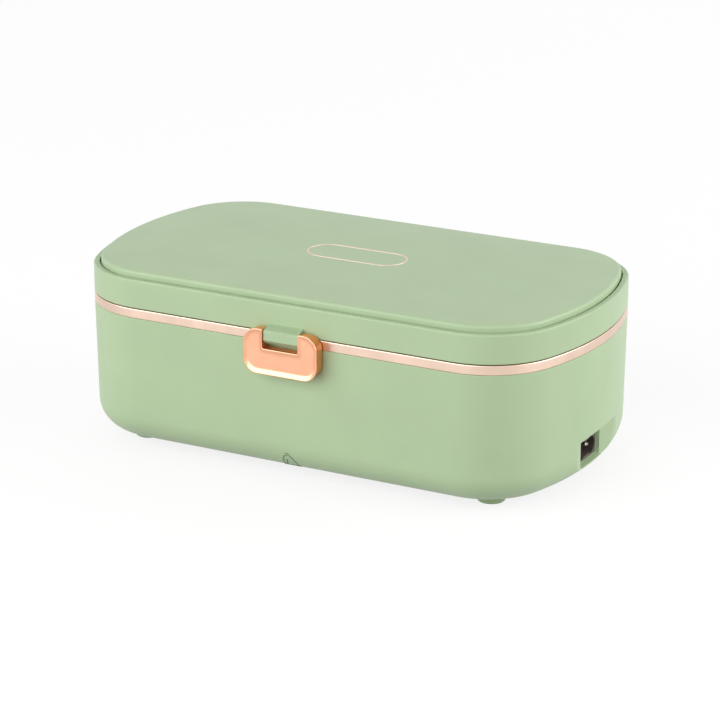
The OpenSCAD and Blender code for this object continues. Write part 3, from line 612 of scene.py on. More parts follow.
def loft(loops: Sequence[Sequence[Vector]], closed: bool, cap: bool = False) -> Sheet:
    """Skins a row of loops that have the same number of points.

    Args:
        loops: The loops, in order.
        closed: Whether the last loop joins the first.
        cap: Whether the first and last loops are filled.

    Returns:
        The mesh.
    """
    sheet = bmesh.new()
    rows = [[sheet.verts.new(point) for point in loop] for loop in loops]
    for low, high in zip(rows, rows[1:] + (rows[:1] if closed else [])):
        for i, j in neighbours(len(low)):
            sheet.faces.new((low[i], low[j], high[j], high[i]))
    if cap:
        sheet.faces.new(rows[0])
        sheet.faces.new(rows[-1])
    return sheet


def level_loop(outline: Outline, depth: float, z: float) -> list[Vector]:
    """A level loop round the case, at a depth in from its edge."""
    return [Vector((*(point - normal * depth), z)) for point, normal in outline.stations()]


def around(outline: Outline, section: Sequence[Pair]) -> Sheet:
    """Sweeps a wall section right round the case.

    Args:
        outline: The case's plan outline.
        section: Points of the section: distance in from the edge, and height.

    Returns:
        The mesh, closed by flat caps at the section's first and last point.
    """
    return loft([level_loop(outline, s, z) for s, z in section], closed=False, cap=True)


def extruded(outline: Sequence[Pair], place: Callable[[float, float, float], Vector],
             low: float, high: float) -> Sheet:
    """Extrudes a flat outline between two distances.

    Args:
        outline: Points of the outline.
        place: Turns the outline's two coordinates and the distance into a point.
        low: First distance.
        high: Second distance.

    Returns:
        The mesh.
    """
    loops = [[place(u, v, depth) for u, v in outline] for depth in (low, high)]
    return loft(loops, closed=False, cap=True)


def merge(target: Sheet, *others: Sheet) -> Sheet:
    """Adds closed shapes to a mesh as separate shells, and frees them.

    Args:
        target: Mesh that takes the others in.
        *others: Meshes that are added.

    Returns:
        The target mesh.
    """
    for other in others:
        data = bpy.data.meshes.new("part")
        other.to_mesh(data)
        other.free()
        target.from_mesh(data)
        bpy.data.meshes.remove(data)
    return target


# ---------------------------------------------------------------- geometry nodes


class NodeBench:
    """A geometry node tree with named size inputs, whose result becomes a plain mesh."""

    def __init__(self, name: str) -> None:
        """Starts a tree that takes and gives a geometry.

        Args:
            name: Name of the tree.
        """
        self.tree = bpy.data.node_groups.new(name, "GeometryNodeTree")
        for way in ("INPUT", "OUTPUT"):
            self.tree.interface.new_socket("Geometry", in_out=way, socket_type="NodeSocketGeometry")
        self.source = self.tree.nodes.new("NodeGroupInput")
        self.sink = self.tree.nodes.new("NodeGroupOutput")

    def size(self, name: str, default: float) -> Socket:
        """Adds a named size input and gives its socket.

        Args:
            name: Name of the input.
            default: Its value where none is given.

        Returns:
            The input's socket.
        """
        socket = self.tree.interface.new_socket(name, in_out="INPUT", socket_type="NodeSocketFloat")
        socket.default_value = default
        return self.source.outputs[name]

    def add(self, kind: str, links: Optional[dict[str, Socket]] = None,
            **settings: object) -> bpy.types.Node:
        """Adds one node.

        Args:
            kind: Blender's name of the node type.
            links: Sockets that feed the node's inputs, by input name.
            **settings: Properties of the node.

        Returns:
            The new node.
        """
        node = self.tree.nodes.new(kind)
        for name, value in settings.items():
            setattr(node, name, value)
        for name, socket in (links or {}).items():
            self.tree.links.new(socket, node.inputs[name])
        return node

    def end(self, geometry: Socket, material: bpy.types.Material) -> None:
        """Ends the tree with real meshes that wear a material.

        Args:
            geometry: The geometry that the tree has made.
            material: Material that it wears.
        """
        real = self.add("GeometryNodeRealizeInstances", {"Geometry": geometry})
        worn = self.add("GeometryNodeSetMaterial", {"Geometry": real.outputs["Geometry"]})
        worn.inputs["Material"].default_value = material
        self.tree.links.new(worn.outputs["Geometry"], self.sink.inputs["Geometry"])

    def run(self, name: str, start: bpy.types.Mesh, **sizes: float) -> Sheet:
        """Evaluates the tree on a mesh.

        Args:
            name: Name of the helper object.
            start: Mesh that the tree takes.
            **sizes: Values of the named inputs, with _ for a space in their names.

        Returns:
            The resulting mesh.
        """
        host = placed(name, start)
        modifier = host.modifiers.new("nodes", "NODES")
        modifier.node_group = self.tree
        inputs = {item.name: item.identifier for item in self.tree.interface.items_tree
                  if item.in_out == "INPUT"}
        for label, value in sizes.items():
            modifier[inputs[label.replace("_", " ")]] = value
        depsgraph = bpy.context.evaluated_depsgraph_get()
        data = bpy.data.meshes.new_from_object(host.evaluated_get(depsgraph))
        sheet = bmesh.new()
        sheet.from_mesh(data)
        bpy.data.objects.remove(host)
        bpy.data.meshes.remove(data)
        return sheet


class Sweep(NodeBench):
    """Sweeps a profile along the edges of the mesh that the tree takes."""

    def path(self) -> Socket:
        """The edges as curves."""
        curve = self.add("GeometryNodeMeshToCurve", {"Mesh": self.source.outputs["Geometry"]})
        return curve.outputs["Curve"]

    def sweep(self, path: Socket, profile: Socket, material: bpy.types.Material,
              caps: bool = False) -> None:
        """Sweeps the profile and ends the tree.

        Args:
            path: The curves that the profile follows.
            profile: The profile's curve.
            material: Material of the result.
            caps: Whether open ends are filled.
        """
        swept = self.add("GeometryNodeCurveToMesh", {"Curve": path, "Profile Curve": profile})
        swept.inputs["Fill Caps"].default_value = caps
        self.end(swept.outputs["Mesh"], material)


class RingSweep(Sweep):
    """Sweeps a rounded rectangle along a closed edge loop."""

    FILLET_STEPS = 4

    def __init__(self, material: bpy.types.Material) -> None:
        """Builds the tree: the loop as a path, the rounded profile, and the sweep.

        Args:
            material: Material of the ring.
        """
        super().__init__("ring_sweep")
        width = self.size("Width", 2 * MM)
        height = self.size("Height", 4 * MM)
        fillet = self.size("Fillet", 0.4 * MM)
        upright = self.add("GeometryNodeSetCurveNormal", {"Curve": self.path()}, mode="Z_UP")
        box = self.add("GeometryNodeCurvePrimitiveQuadrilateral",
                       {"Width": width, "Height": height})
        soft = self.add("GeometryNodeFilletCurve",
                        {"Curve": box.outputs["Curve"], "Radius": fillet}, mode="POLY")
        soft.inputs["Count"].default_value = self.FILLET_STEPS
        self.sweep(upright.outputs["Curve"], soft.outputs["Curve"], material)


class StrokeSweep(Sweep):
    """Draws round strokes along every edge of a mesh."""

    SIDES = 8

    def __init__(self, material: bpy.types.Material) -> None:
        """Builds the tree: the edges as paths, the round profile, and the sweep.

        Args:
            material: Material of the strokes.
        """
        super().__init__("stroke_sweep")
        radius = self.size("Radius", 0.2 * MM)
        nib = self.add("GeometryNodeCurvePrimitiveCircle", {"Radius": radius})
        nib.inputs["Resolution"].default_value = self.SIDES
        self.sweep(self.path(), nib.outputs["Curve"], material, caps=True)


class Scatter(NodeBench):
    """Sets a copy of one modelled fastener on every point of a mesh."""

    def __init__(self, fastener: bpy.types.Object, material: bpy.types.Material) -> None:
        """Builds the tree: the points, the fastener on each, and its scale.

        Args:
            fastener: The modelled fastener, on the origin.
            material: Material of the copies.
        """
        super().__init__("scatter")
        scale = self.size("Scale", 1.0)
        info = self.add("GeometryNodeObjectInfo")
        info.inputs["Object"].default_value = fastener
        points = self.add("GeometryNodeMeshToPoints", {"Mesh": self.source.outputs["Geometry"]})
        placed = self.add("GeometryNodeInstanceOnPoints",
                          {"Points": points.outputs["Points"], "Instance": info.outputs["Geometry"],
                           "Scale": scale})
        self.end(placed.outputs["Instances"], material)


def wires(points: Sequence[Vector], edges: Sequence[tuple[int, int]] = ()) -> bpy.types.Mesh:
    """A mesh that holds only points, and edges between them.

    Args:
        points: The points.
        edges: Pairs of point numbers.

    Returns:
        The mesh.
    """
    data = bpy.data.meshes.new("wires")
    data.from_pydata([tuple(point) for point in points], edges, [])
    return data


def edge_loop(points: Sequence[Vector]) -> bpy.types.Mesh:
    """A mesh that holds one closed loop of edges."""
    return wires(points, neighbours(len(points)))


def strokes(lines: Sequence[Sequence[Vector]]) -> bpy.types.Mesh:
    """A mesh that holds open lines of edges.

    Args:
        lines: Points of each line, in order.

    Returns:
        The mesh.
    """
    points, edges = [], []
    for line in lines:
        first = len(points)
        points += line
        edges += [(i, i + 1) for i in range(first, len(points) - 1)]
    return wires(points, edges)


# ---------------------------------------------------------------- shared shapes


def side_on(x: float) -> Callable[[float, float, float], Vector]:
    """Places a profile of the YZ plane at a distance along X from a middle."""
    return lambda y, z, depth: Vector((x + depth, y, z))


def bored(outline: Sequence[Pair], centre: Pair, radius: float, middle: float,
          width: float) -> Sheet:
    """A lug: a profile of the YZ plane with a round bore along X.

    Args:
        outline: Points of the profile, which all see the bore's centre.
        centre: The bore's y and z.
        radius: The bore's radius.
        middle: The lug's middle along X.
        width: The lug's width along X.

    Returns:
        The mesh.
    """
    hole = []
    for y, z in outline:
        away = Vector((y - centre[0], z - centre[1])).normalized() * radius
        hole.append((centre[0] + away.x, centre[1] + away.y))
    place = side_on(middle)
    loops = [[place(y, z, depth) for y, z in profile]
             for profile, depth in ((outline, -width / 2), (outline, width / 2),
                                    (hole, width / 2), (hole, -width / 2))]
    return loft(loops, closed=True)


def turned(profile: Sequence[Pair], axis: Pair = (0.0, 0.0), facets: int = 40) -> Sheet:
    """Turns a profile about an upright axis.

    Args:
        profile: Points of the profile, radius and height, from the axis back to the axis.
        axis: The axis's x and y.
        facets: Number of sides.

    Returns:
        The closed mesh.
    """
    angles = [2 * math.pi * i / facets for i in range(facets)]
    loops = [[Vector((axis[0] + r * math.cos(a), axis[1] + r * math.sin(a), z)) for a in angles]
             for r, z in profile]
    return loft(loops, closed=False, cap=True)


def smooth_min(first: float, second: float, reach: float) -> float:
    """The smaller of two values, with the change between them eased over a reach."""
    overlap = max(reach - abs(first - second), 0.0) / reach
    return min(first, second) - overlap * overlap * reach / 4


def spread(low: float, high: float, step: float, exact: Sequence[float] = ()) -> list[float]:
    """Even values between two limits, with some exact values kept among them.

    Args:
        low: Lower limit.
        high: Upper limit.
        step: Wanted distance between values.
        exact: Values that have to be among them.

    Returns:
        The values, in order.
    """
    count = max(1, round((high - low) / step))
    even = [low + (high - low) * i / count for i in range(count + 1)]
    return sorted([v for v in even if all(abs(v - e) > step * 0.45 for e in exact)] + list(exact))


def softened(node: str, name: str, width: float, crease: float = 30) -> Piece:
    """A copy of a CAD node's mesh with its doubles merged and its edges rounded.

    Args:
        node: The CAD node.
        name: Name of the new piece.
        width: Width of the rounded edges in metres.
        crease: Angle in degrees above which an edge is rounded.

    Returns:
        The piece, not yet dressed.
    """
    sheet = bmesh.new()
    sheet.from_mesh(frame["nodes"][node].data)
    bmesh.ops.remove_doubles(sheet, verts=sheet.verts, dist=DOUBLES)
    bmesh.ops.dissolve_limit(sheet, angle_limit=FLAT_TURN, verts=sheet.verts, edges=sheet.edges)
    return Piece(name, sheet, crease).bevel(width, segments=2, angle=crease)


# ---------------------------------------------------------------- lower case


@dataclass(frozen=True)
class Scoop:
    """Recess round the inlet: a flat face with a window, ramps, a sloped roof and a sill."""

    face_x: float = 110.5 * MM
    face_y: float = 9.55 * MM
    step: float = 1.7 * MM
    step_y: float = 0.3 * MM
    ramp: float = 0.3246
    low: float = 9.3 * MM
    high: float = 19.3 * MM
    roof: float = 1.36
    sill: float = 3.5
    sill_step: float = 1.0 * MM
    window_y: float = 9.35 * MM
    window_low: float = 9.5 * MM
    window_high: float = 19.1 * MM
    reach_y: float = 24 * MM
    reach_low: float = 7.5 * MM
    reach_high: float = 28 * MM
    ease: float = 0.9 * MM
    slack: float = 0.01 * MM

    def depth(self, y: float, z: float) -> float:
        """How far out along X the recess's surface lies at a place on the end.

        Args:
            y: Place across the end.
            z: Height.

        Returns:
            The surface's x.
        """
        off = abs(y) - self.face_y
        side = self.face_x
        if off > 0:
            side += self.step * min(1.0, off / self.step_y)
            side += self.ramp * max(0.0, off - self.step_y)
        roof = self.face_x + self.roof * max(0.0, z - self.high)
        sill = self.face_x
        if z < self.low:
            sill += self.sill_step + self.sill * (self.low - z)
        corner = -smooth_min(-side, -roof, self.ease)
        return -smooth_min(-corner, -sill, self.ease / 2) if z < self.low else corner

    def carve(self, point: Vector, back: float = 0.0) -> Vector:
        """Pushes a point of the wall back to the recess.

        Args:
            point: Point of the wall.
            back: How far behind the recess's surface the point stays.

        Returns:
            The moved point.
        """
        x, y, z = point
        if not (x > 0 and abs(y) < self.reach_y and self.reach_low < z < self.reach_high):
            return point
        return Vector((smooth_min(x, self.depth(y, z) - back, self.ease), y, z))

    def in_window(self, y: float, z: float) -> bool:
        """Whether a place on the end lies in the window or on its edge."""
        low, high = self.window_low - self.slack, self.window_high + self.slack
        return abs(y) < self.window_y + self.slack and low < z < high


@dataclass
class LowerCase:
    """Lower shell with its hinge ears and catch, trim band, printed symbol, base cover and feet."""

    outline: Outline
    scoop: Scoop = Scoop()
    floor: float = 4 * MM
    band: float = 62.8 * MM
    rim: float = 67.2 * MM
    wall: float = 2.4 * MM
    belly: float = 13.3 * MM
    draft: float = 0.7 * MM
    belly_s: float = 14 * MM
    seat_s: float = 14.5 * MM
    ledge_s: float = 18 * MM
    ledge_low: float = 6 * MM
    ledge_top: float = 8 * MM
    band_t: float = 1.75 * MM
    band_gap: float = 0.1 * MM
    tongue_s: float = 1.85 * MM
    tongue_in: float = 3.9 * MM
    tongue_z: float = 65 * MM
    tongue_low: float = 6 * MM
    edge: float = 0.3 * MM
    lip_z: float = 62.2 * MM
    neck_z: float = 54.8 * MM
    fine_z: Pair = (8.4 * MM, 27.6 * MM)
    fine_y: float = 23 * MM
    fine_steps: Pair = (0.35 * MM, 0.3 * MM)
    tall: tuple[float, ...] = tuple(z * MM for z in (30, 34, 39, 45, 51, 56, 60, 62))
    same_z: float = 0.001 * MM
    ear_x: float = 8.3 * MM
    ear_w: float = 4 * MM
    bore: float = 1.52 * MM

    def line(self, z: float, depth: float) -> float:
        """Distance in from the case's edge of the wall's face, at a height and a depth in it.

        Args:
            z: Height.
            depth: Depth in the wall, 0 on its outer face.

        Returns:
            The distance.
        """
        turn_z = self.floor + self.belly
        if z >= turn_z:
            return depth + self.draft * (self.band - z) / (self.band - turn_z)
        return self.belly_s - math.sqrt(max(0.0, (self.belly - depth) ** 2 - (turn_z - z) ** 2))

    def section(self) -> tuple[list[Pair], int]:
        """Section of the wall, all the way round it.

        Returns:
            The section's points, and the number of the first point on its inner face.
        """
        scoop = self.scoop
        fine = spread(*self.fine_z, self.fine_steps[1],
                      (scoop.low, scoop.window_low, scoop.window_high, scoop.high))
        turn_z = self.floor + self.belly
        bottom = [(self.belly_s - self.belly * math.sin(a), turn_z - self.belly * math.cos(a))
                  for a in turns(10, 5)]
        outer = [(self.line(z, 0), z) for z in (*fine, *self.tall)]
        top = rounded([(self.line(self.lip_z, 0), self.lip_z, 0), (0, self.band, self.edge),
                       (self.tongue_s, self.band, 0), (self.tongue_s, self.tongue_z, 0.2 * MM),
                       (self.tongue_in, self.tongue_z, 0.2 * MM),
                       (self.tongue_in, self.band - self.tongue_low, 0),
                       (self.line(self.neck_z, self.wall), self.neck_z, 0)], closed=False)
        within = [z for z in self.tall if z < self.neck_z]
        inner = [(self.line(z, self.wall), z) for z in reversed(fine + within)]
        ledge = [(self.line(self.ledge_top, self.wall), self.ledge_top),
                 (self.ledge_s, self.ledge_top), (self.ledge_s, self.ledge_low),
                 (self.seat_s, self.ledge_low), (self.seat_s, self.floor)]
        return bottom + outer + top + inner + ledge, len(bottom) + len(outer) + len(top)

    def shell(self) -> Sheet:
        """The wall swept round the case, with the recess and its window on the +X end.

        Returns:
            The mesh.
        """
        scoop = self.scoop
        marks = (scoop.window_y, scoop.face_y, scoop.face_y + scoop.step_y)
        fine = spread(-self.fine_y, self.fine_y, self.fine_steps[0],
                      [side * y for side in (-1, 1) for y in marks])
        stations = self.outline.stations(fine)
        section, inner_start = self.section()
        sheet = bmesh.new()
        rows = []
        for index, (s, z) in enumerate(section):
            back = self.wall if index >= inner_start else 0.0
            places = [Vector((*(point - normal * s), z)) for point, normal in stations]
            rows.append([sheet.verts.new(scoop.carve(place, back)) for place in places])
        self.skin(sheet, rows, section, stations, inner_start)
        return sheet

    def skin(self, sheet: Sheet, rows: list[list[bmesh.types.BMVert]], section: list[Pair],
             stations: list[tuple[Vector, Vector]], inner_start: int) -> None:
        """Closes the rows with faces, and bridges the two walls round the window.

        Args:
            sheet: The mesh.
            rows: Vertices of each row of the section.
            section: Points of the section.
            stations: Places along the edge.
            inner_start: First row of the inner wall.
        """
        scoop = self.scoop
        middle_z = (scoop.window_low + scoop.window_high) / 2
        seen = [point.x > 0 and scoop.in_window(point.y, middle_z) for point, _ in stations]
        glazed = [scoop.in_window(0, z) for _, z in section]
        steps = neighbours(len(stations))
        wall_rows = [row for row in range(len(rows) - 1) if glazed[row] and glazed[row + 1]]
        columns = [(i, j) for i, j in steps if seen[i] and seen[j]]
        open_cells = {(row, i) for row in wall_rows for i, _ in columns}
        for row, above in neighbours(len(rows)):
            low, high = rows[row], rows[above]
            for i, j in steps:
                if (row, i) not in open_cells:
                    sheet.faces.new((low[i], low[j], high[j], high[i]))
        mates = {}
        for row, (_, z) in enumerate(section[:inner_start]):
            level = [inner_start + i for i, (_, height) in enumerate(section[inner_start:])
                     if abs(height - z) < self.same_z]
            if glazed[row] and level:
                mates[row] = rows[level[0]]
        outer_rows = sorted(row for row in wall_rows if row < inner_start)
        for row in outer_rows:
            here, above = rows[row], rows[row + 1]
            for i in (columns[0][0], columns[-1][1]):
                sheet.faces.new((here[i], above[i], mates[row + 1][i], mates[row][i]))
        for row in (outer_rows[0], outer_rows[-1] + 1):
            here, mate = rows[row], mates[row]
            for i, j in columns:
                sheet.faces.new((here[i], here[j], mate[j], mate[i]))

    def ear(self, x: float) -> Sheet:
        """One hinge ear on the rear wall.

        Args:
            x: The ear's middle along X.

        Returns:
            The mesh.
        """
        y, z = HINGE
        half, radius = 3 * MM, 2.96 * MM
        wall_y, root_z, shoulder_z = 63.9 * MM, 53.6 * MM, 61.9 * MM
        profile = rounded([(wall_y, root_z, 0), (65 * MM, 53.9 * MM, 0.3 * MM),
                           (y + half, shoulder_z, half), (y + half, z + half, radius),
                           (y - half, z + half, radius), (y - half, shoulder_z, 0.2 * MM),
                           (wall_y, shoulder_z, 0)])
        return bored(profile, HINGE, self.bore, x, self.ear_w)

    def catch(self) -> Sheet:
        """The ledge under the clasp that its hook holds on to.

        Returns:
            The mesh.
        """
        low, high = 54.1 * MM, 57.1 * MM
        root, out, soft, half = 63.8 * MM, 66.2 * MM, 0.3 * MM, 10 * MM
        profile = rounded([(-root, low, 0), (-root, high, 0),
                           (-out, high, soft), (-out, low, soft)])
        return extruded(profile, side_on(0), -half, half)

    def symbol(self) -> Sheet:
        """A small printed pictogram of a covered dish, low on the front.

        Returns:
            The mesh.
        """
        middle, low, half, tall = -1.4 * MM, 6.0 * MM, 3.3 * MM, 6.2 * MM
        knob_half = knob_rise = 0.8 * MM
        proud = 0.1 * MM
        dome = [(middle + half * math.cos(a), low + tall * math.sin(a)) for a in turns(21, 9)]
        plate = [(middle + half * 1.25 * i / 6, low - proud) for i in range(-6, 7)]
        knob = [(middle + knob_half * i / 2, low + tall + knob_rise) for i in range(-2, 3)]
        glint = [(middle - half * 0.55 * math.cos(a), low + tall * 0.6 * math.sin(a))
                 for a in turns(7, 10, start=15)]
        front = -self.outline.width / 2
        laid = [[Vector((x, front + self.line(z, 0) + proud, z)) for x, z in line]
                for line in (dome, plate, knob, glint)]
        nib = StrokeSweep(Wardrobe.of("print"))
        return nib.run("symbol", strokes(laid), Radius=0.32 * MM)

    def feet(self) -> Sheet:
        """Four turned rubber feet with a rounded lower edge.

        Returns:
            The mesh.
        """
        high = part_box("rubber_feet")[1]
        radius, stem_r, tip_r = 6.5 * MM, 2.5 * MM, 1.5 * MM
        pad_z, stem_z, tip_z = 4.45 * MM, 8 * MM, 9 * MM
        x, y = high[0] - radius, high[1] - radius
        profile = rounded([(AXIS_R, 0, 0), (6 * MM, 0, 0.9 * MM), (radius, pad_z, 0),
                           (stem_r, pad_z, 0), (stem_r, stem_z, 0), (tip_r, tip_z, 0),
                           (AXIS_R, tip_z, 0)], closed=False)
        first, *others = [turned(profile, (sx * x, sy * y)) for sx in (-1, 1) for sy in (-1, 1)]
        return merge(first, *others)

    def trim(self) -> Sheet:
        """The bright band round the rim.

        Returns:
            The mesh.
        """
        middle = level_loop(self.outline, self.band_t / 2, (self.band + self.rim) / 2)
        sweep = RingSweep(Wardrobe.of("pale_band"))
        return sweep.run("band", edge_loop(middle), Width=self.band_t,
                         Height=self.rim - self.band - self.band_gap, Fillet=0.45 * MM)

    def build(self) -> None:
        """Makes and dresses every piece of the lower case."""
        shell = self.shell()
        first, *others = [self.ear(side * HINGE_X + hand * (self.ear_x + self.ear_w / 2))
                          for side in (-1, 1) for hand in (-1, 1)]
        Piece("lower_shell", shell, 40).weighted().dress("sage_shell", "base", "body_shell")
        Piece("hinge_ears", merge(first, *others)).bevel(0.35 * MM).dress("sage_shell", "base")
        Piece("catch_ledge", self.catch()).bevel(0.25 * MM).dress("sage_shell", "base")
        ring = Piece("trim_ring", self.trim(), 40).weighted()
        ring.dress("rose_trim", "base", "trim_band", finish="pale_band")
        Piece("dish_symbol", self.symbol(), 60).dress("sage_shell", "base", finish="print")
        Piece("feet", self.feet()).weighted().dress("green_rubber", "base", "rubber_feet")
        softened("base_cover", "base_plate", 0.3 * MM).dress("sage_shell", "base", "base_cover")


# ---------------------------------------------------------------- lid


@dataclass
class Lid:
    """Lid shell with its front lug and knuckles, and the crowned panel on top."""

    outline: Outline
    low: float = 67.5 * MM
    rim: float = 80.3 * MM
    deck: float = 78.4 * MM
    deck_low: float = 76.6 * MM
    wall: float = 2.2 * MM
    rim_w: float = 2.6 * MM
    panel_s: float = 3.3 * MM
    edge_z: float = 81.4 * MM
    crown: Pair = (1.4 * MM, 1.9 * MM)
    crown_steps: int = 12
    dome: float = 1.4 * MM
    dome_s: tuple[float, ...] = tuple(s * MM for s in (8, 11, 15, 20, 25, 30, 34))
    panel_t: float = 1.8 * MM
    panel_gap: float = 0.02 * MM
    inside: float = 20 * MM
    reach: float = 36 * MM
    knuckle_w: float = 16 * MM
    bore: float = 1.55 * MM
    pin: Pair = (-67.9 * MM, 68.0 * MM)
    pin_bore: float = 1.12 * MM
    lug_w: float = 16.5 * MM

    def shell(self) -> Sheet:
        """The side wall with its rim and the deck that closes it.

        Returns:
            The mesh.
        """
        section = rounded([(self.inside, self.deck, 0), (self.rim_w, self.deck, 0.15 * MM),
                           (self.rim_w, self.rim, 0.3 * MM), (0, self.rim, 0.8 * MM),
                           (0, self.low, 0.35 * MM), (self.wall, self.low, 0.2 * MM),
                           (self.wall, self.deck_low, 0.4 * MM),
                           (self.inside, self.deck_low, 0)], closed=False, step=10)
        return around(self.outline, section)

    def crown_line(self, sunk: float) -> list[Pair]:
        """Upper line of the panel from its edge to near its middle, at a depth in the panel.

        Args:
            sunk: Depth below the panel's upper face.

        Returns:
            Points of the line: distance in from the case's edge, and height.
        """
        width, rise = self.crown
        shoulder_s, shoulder_z = self.panel_s + width, self.edge_z + rise
        top = shoulder_z + self.dome
        half = self.reach - shoulder_s
        dome_r = (half ** 2 + self.dome ** 2) / (2 * self.dome)
        slope = math.asin(half / dome_r)
        radius = (width ** 2 + rise ** 2) / (2 * (rise * math.cos(slope) - width * math.sin(slope)))
        centre_s = shoulder_s + radius * math.sin(slope)
        centre_z = shoulder_z - radius * math.cos(slope)
        turn = max(0.05 * MM, radius - sunk)
        start = math.acos(max(0.0, min(1.0, (centre_s - self.panel_s - sunk) / turn)))
        arc = []
        for i in range(self.crown_steps + 1):
            angle = start + (math.pi / 2 - slope - start) * i / self.crown_steps
            arc.append((centre_s - turn * math.cos(angle), centre_z + turn * math.sin(angle)))
        middle_z = top - dome_r
        dome = [(s, middle_z + math.sqrt((dome_r - sunk) ** 2 - (self.reach - s) ** 2))
                for s in self.dome_s]
        return arc + dome

    def panel(self) -> Sheet:
        """The crowned panel: an upright edge, a rounded edge and a shallow dome, hollow below.

        Returns:
            The mesh.
        """
        outer = list(reversed(self.crown_line(0)))
        inner = self.crown_line(self.panel_t)
        foot = self.deck + self.panel_gap
        edge = [(self.panel_s, self.deck + 0.7 * MM), (self.panel_s, foot),
                (self.panel_s + self.panel_t, foot)]
        return around(self.outline, outer + edge + inner)

    def lug(self) -> Sheet:
        """The front lug that the clasp's pin runs through.

        Returns:
            The mesh.
        """
        soft = 0.35
        corners = [(63.9, 67.9, 0), (65.45, 67.9, 0), (65.45, 64.3, soft), (66.05, 63.6, soft),
                   (69.1, 63.6, soft), (70.6, 65.2, soft), (70.6, 69.1, soft), (69.9, 69.7, soft),
                   (63.9, 71.1, 0)]
        profile = rounded([(-y * MM, z * MM, r * MM) for y, z, r in corners])
        return bored(profile, self.pin, self.pin_bore, 0, self.lug_w)

    def knuckle(self, x: float) -> Sheet:
        """One rear knuckle, between two ears.

        Args:
            x: The knuckle's middle along X.

        Returns:
            The mesh.
        """
        y, z = HINGE
        out, soft, radius = 3 * MM, 1.5 * MM, 2.95 * MM
        wall_y = 63.9 * MM
        profile = rounded([(wall_y, 75 * MM, 0), (wall_y, 68 * MM, 0), (y - out, 67.75 * MM, 0),
                           (y - out, z - out, radius), (y + out, z - out, radius),
                           (y + out, z + 1.6 * MM, soft), (66.8 * MM, 74 * MM, soft)])
        return bored(profile, HINGE, self.bore, x, self.knuckle_w)

    def badge(self) -> Sheet:
        """A bare gilt line in the shape of a pill, let into the middle of the panel.

        Returns:
            The mesh.
        """
        length, width, line, deep = 47 * MM, 18.6 * MM, 0.9 * MM, 0.5 * MM
        middle_x, middle_y = -1.5 * MM, 0.9 * MM
        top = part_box("lid_panel")[1][2] - 0.01 * MM
        end_r = width / 2 - 0.01 * MM
        corners = [(middle_x + sx * length / 2, middle_y + sy * width / 2, end_r)
                   for sx, sy in ((-1, -1), (1, -1), (1, 1), (-1, 1))]
        path = [Vector((x, y, top - deep / 2)) for x, y in rounded(corners, step=6)]
        sweep = RingSweep(Wardrobe.of("pale_band"))
        return sweep.run("badge", edge_loop(path), Width=line, Height=deep, Fillet=0.12 * MM)

    def build(self) -> None:
        """Makes and dresses every piece of the lid."""
        Piece("lid_side", self.shell(), 40).weighted().dress("sage_shell", "lid", "lid_shell")
        Piece("clasp_lug", self.lug()).bevel(0.3 * MM).dress("sage_shell", "lid")
        knuckles = [self.knuckle(side * HINGE_X) for side in (-1, 1)]
        Piece("knuckles", merge(*knuckles)).bevel(0.35 * MM).dress("sage_shell", "lid")
        Piece("crowned_panel", self.panel(), 50).weighted().dress("sage_shell", "lid", "lid_panel")
        badge = Piece("badge_line", self.badge(), 50).weighted()
        badge.dress("rose_trim", "lid", finish="pale_band")
        softened("lid_liner", "inner_lid", 0.35 * MM).dress("cream_plastic", "lid", "lid_liner")


# ---------------------------------------------------------------- clasp


@dataclass
class Clasp:
    """The polished cover plate with its raised rim, and the copper lever behind it.

    The rebate, side and dish hold the plate's outline in mm, from its back to the middle of its
    front: how far in from its edge, and how far back from its front.
    """

    width: float = 35.5 * MM
    radius: float = 6.5 * MM
    notch_w: float = 17 * MM
    notch_d: float = 8.5 * MM
    notch_r: float = 0.7 * MM
    front: float = -71.5 * MM
    rebate: tuple[Pair, ...] = ((1.5, 1.9), (1.5, 1.15))
    side: tuple[Pair, ...] = ((0.12, 1.05), (0, 0.93), (0, 0.4), (0.08, 0.18), (0.22, 0.04))
    dish: tuple[Pair, ...] = ((0.4, 0), (0.55, 0.07), (0.8, 0.24), (1.1, 0.42), (1.5, 0.6),
                              (2.0, 0.76), (2.6, 0.86))

    def corners(self) -> list[Corner]:
        """Corners of the front outline, anticlockwise from the lower left.

        Returns:
            The corners, each with the radius of its rounding.
        """
        low, high = heights("clasp_cover")
        x, r, notch, soft = self.width / 2, self.radius, self.notch_w / 2, self.notch_r
        floor = high - self.notch_d
        return [(-x, low, r), (x, low, r), (x, high, r), (notch, high, soft), (notch, floor, soft),
                (-notch, floor, soft), (-notch, high, soft), (-x, high, r)]

    def cover(self) -> Sheet:
        """The cover plate: a rebate behind, a thin crest round the edge and a dished face.

        Returns:
            The mesh.
        """
        loops = []
        for depth, back in (*self.rebate, *self.side, *self.dish):
            outline = rounded(inset(self.corners(), depth * MM), step=9)
            loops.append([Vector((x, self.front + back * MM, z)) for x, z in outline])
        return loft(loops, closed=False, cap=True)

    def build(self) -> None:
        """Makes and dresses the clasp."""
        Piece("clasp_plate", self.cover(), 50).weighted().dress("rose_trim", "clasp", "clasp_cover")
        softened("clasp_lever", "clasp_body", 0.35 * MM).dress("rose_lever", "clasp", "clasp_lever")


# ---------------------------------------------------------------- food tray and inside


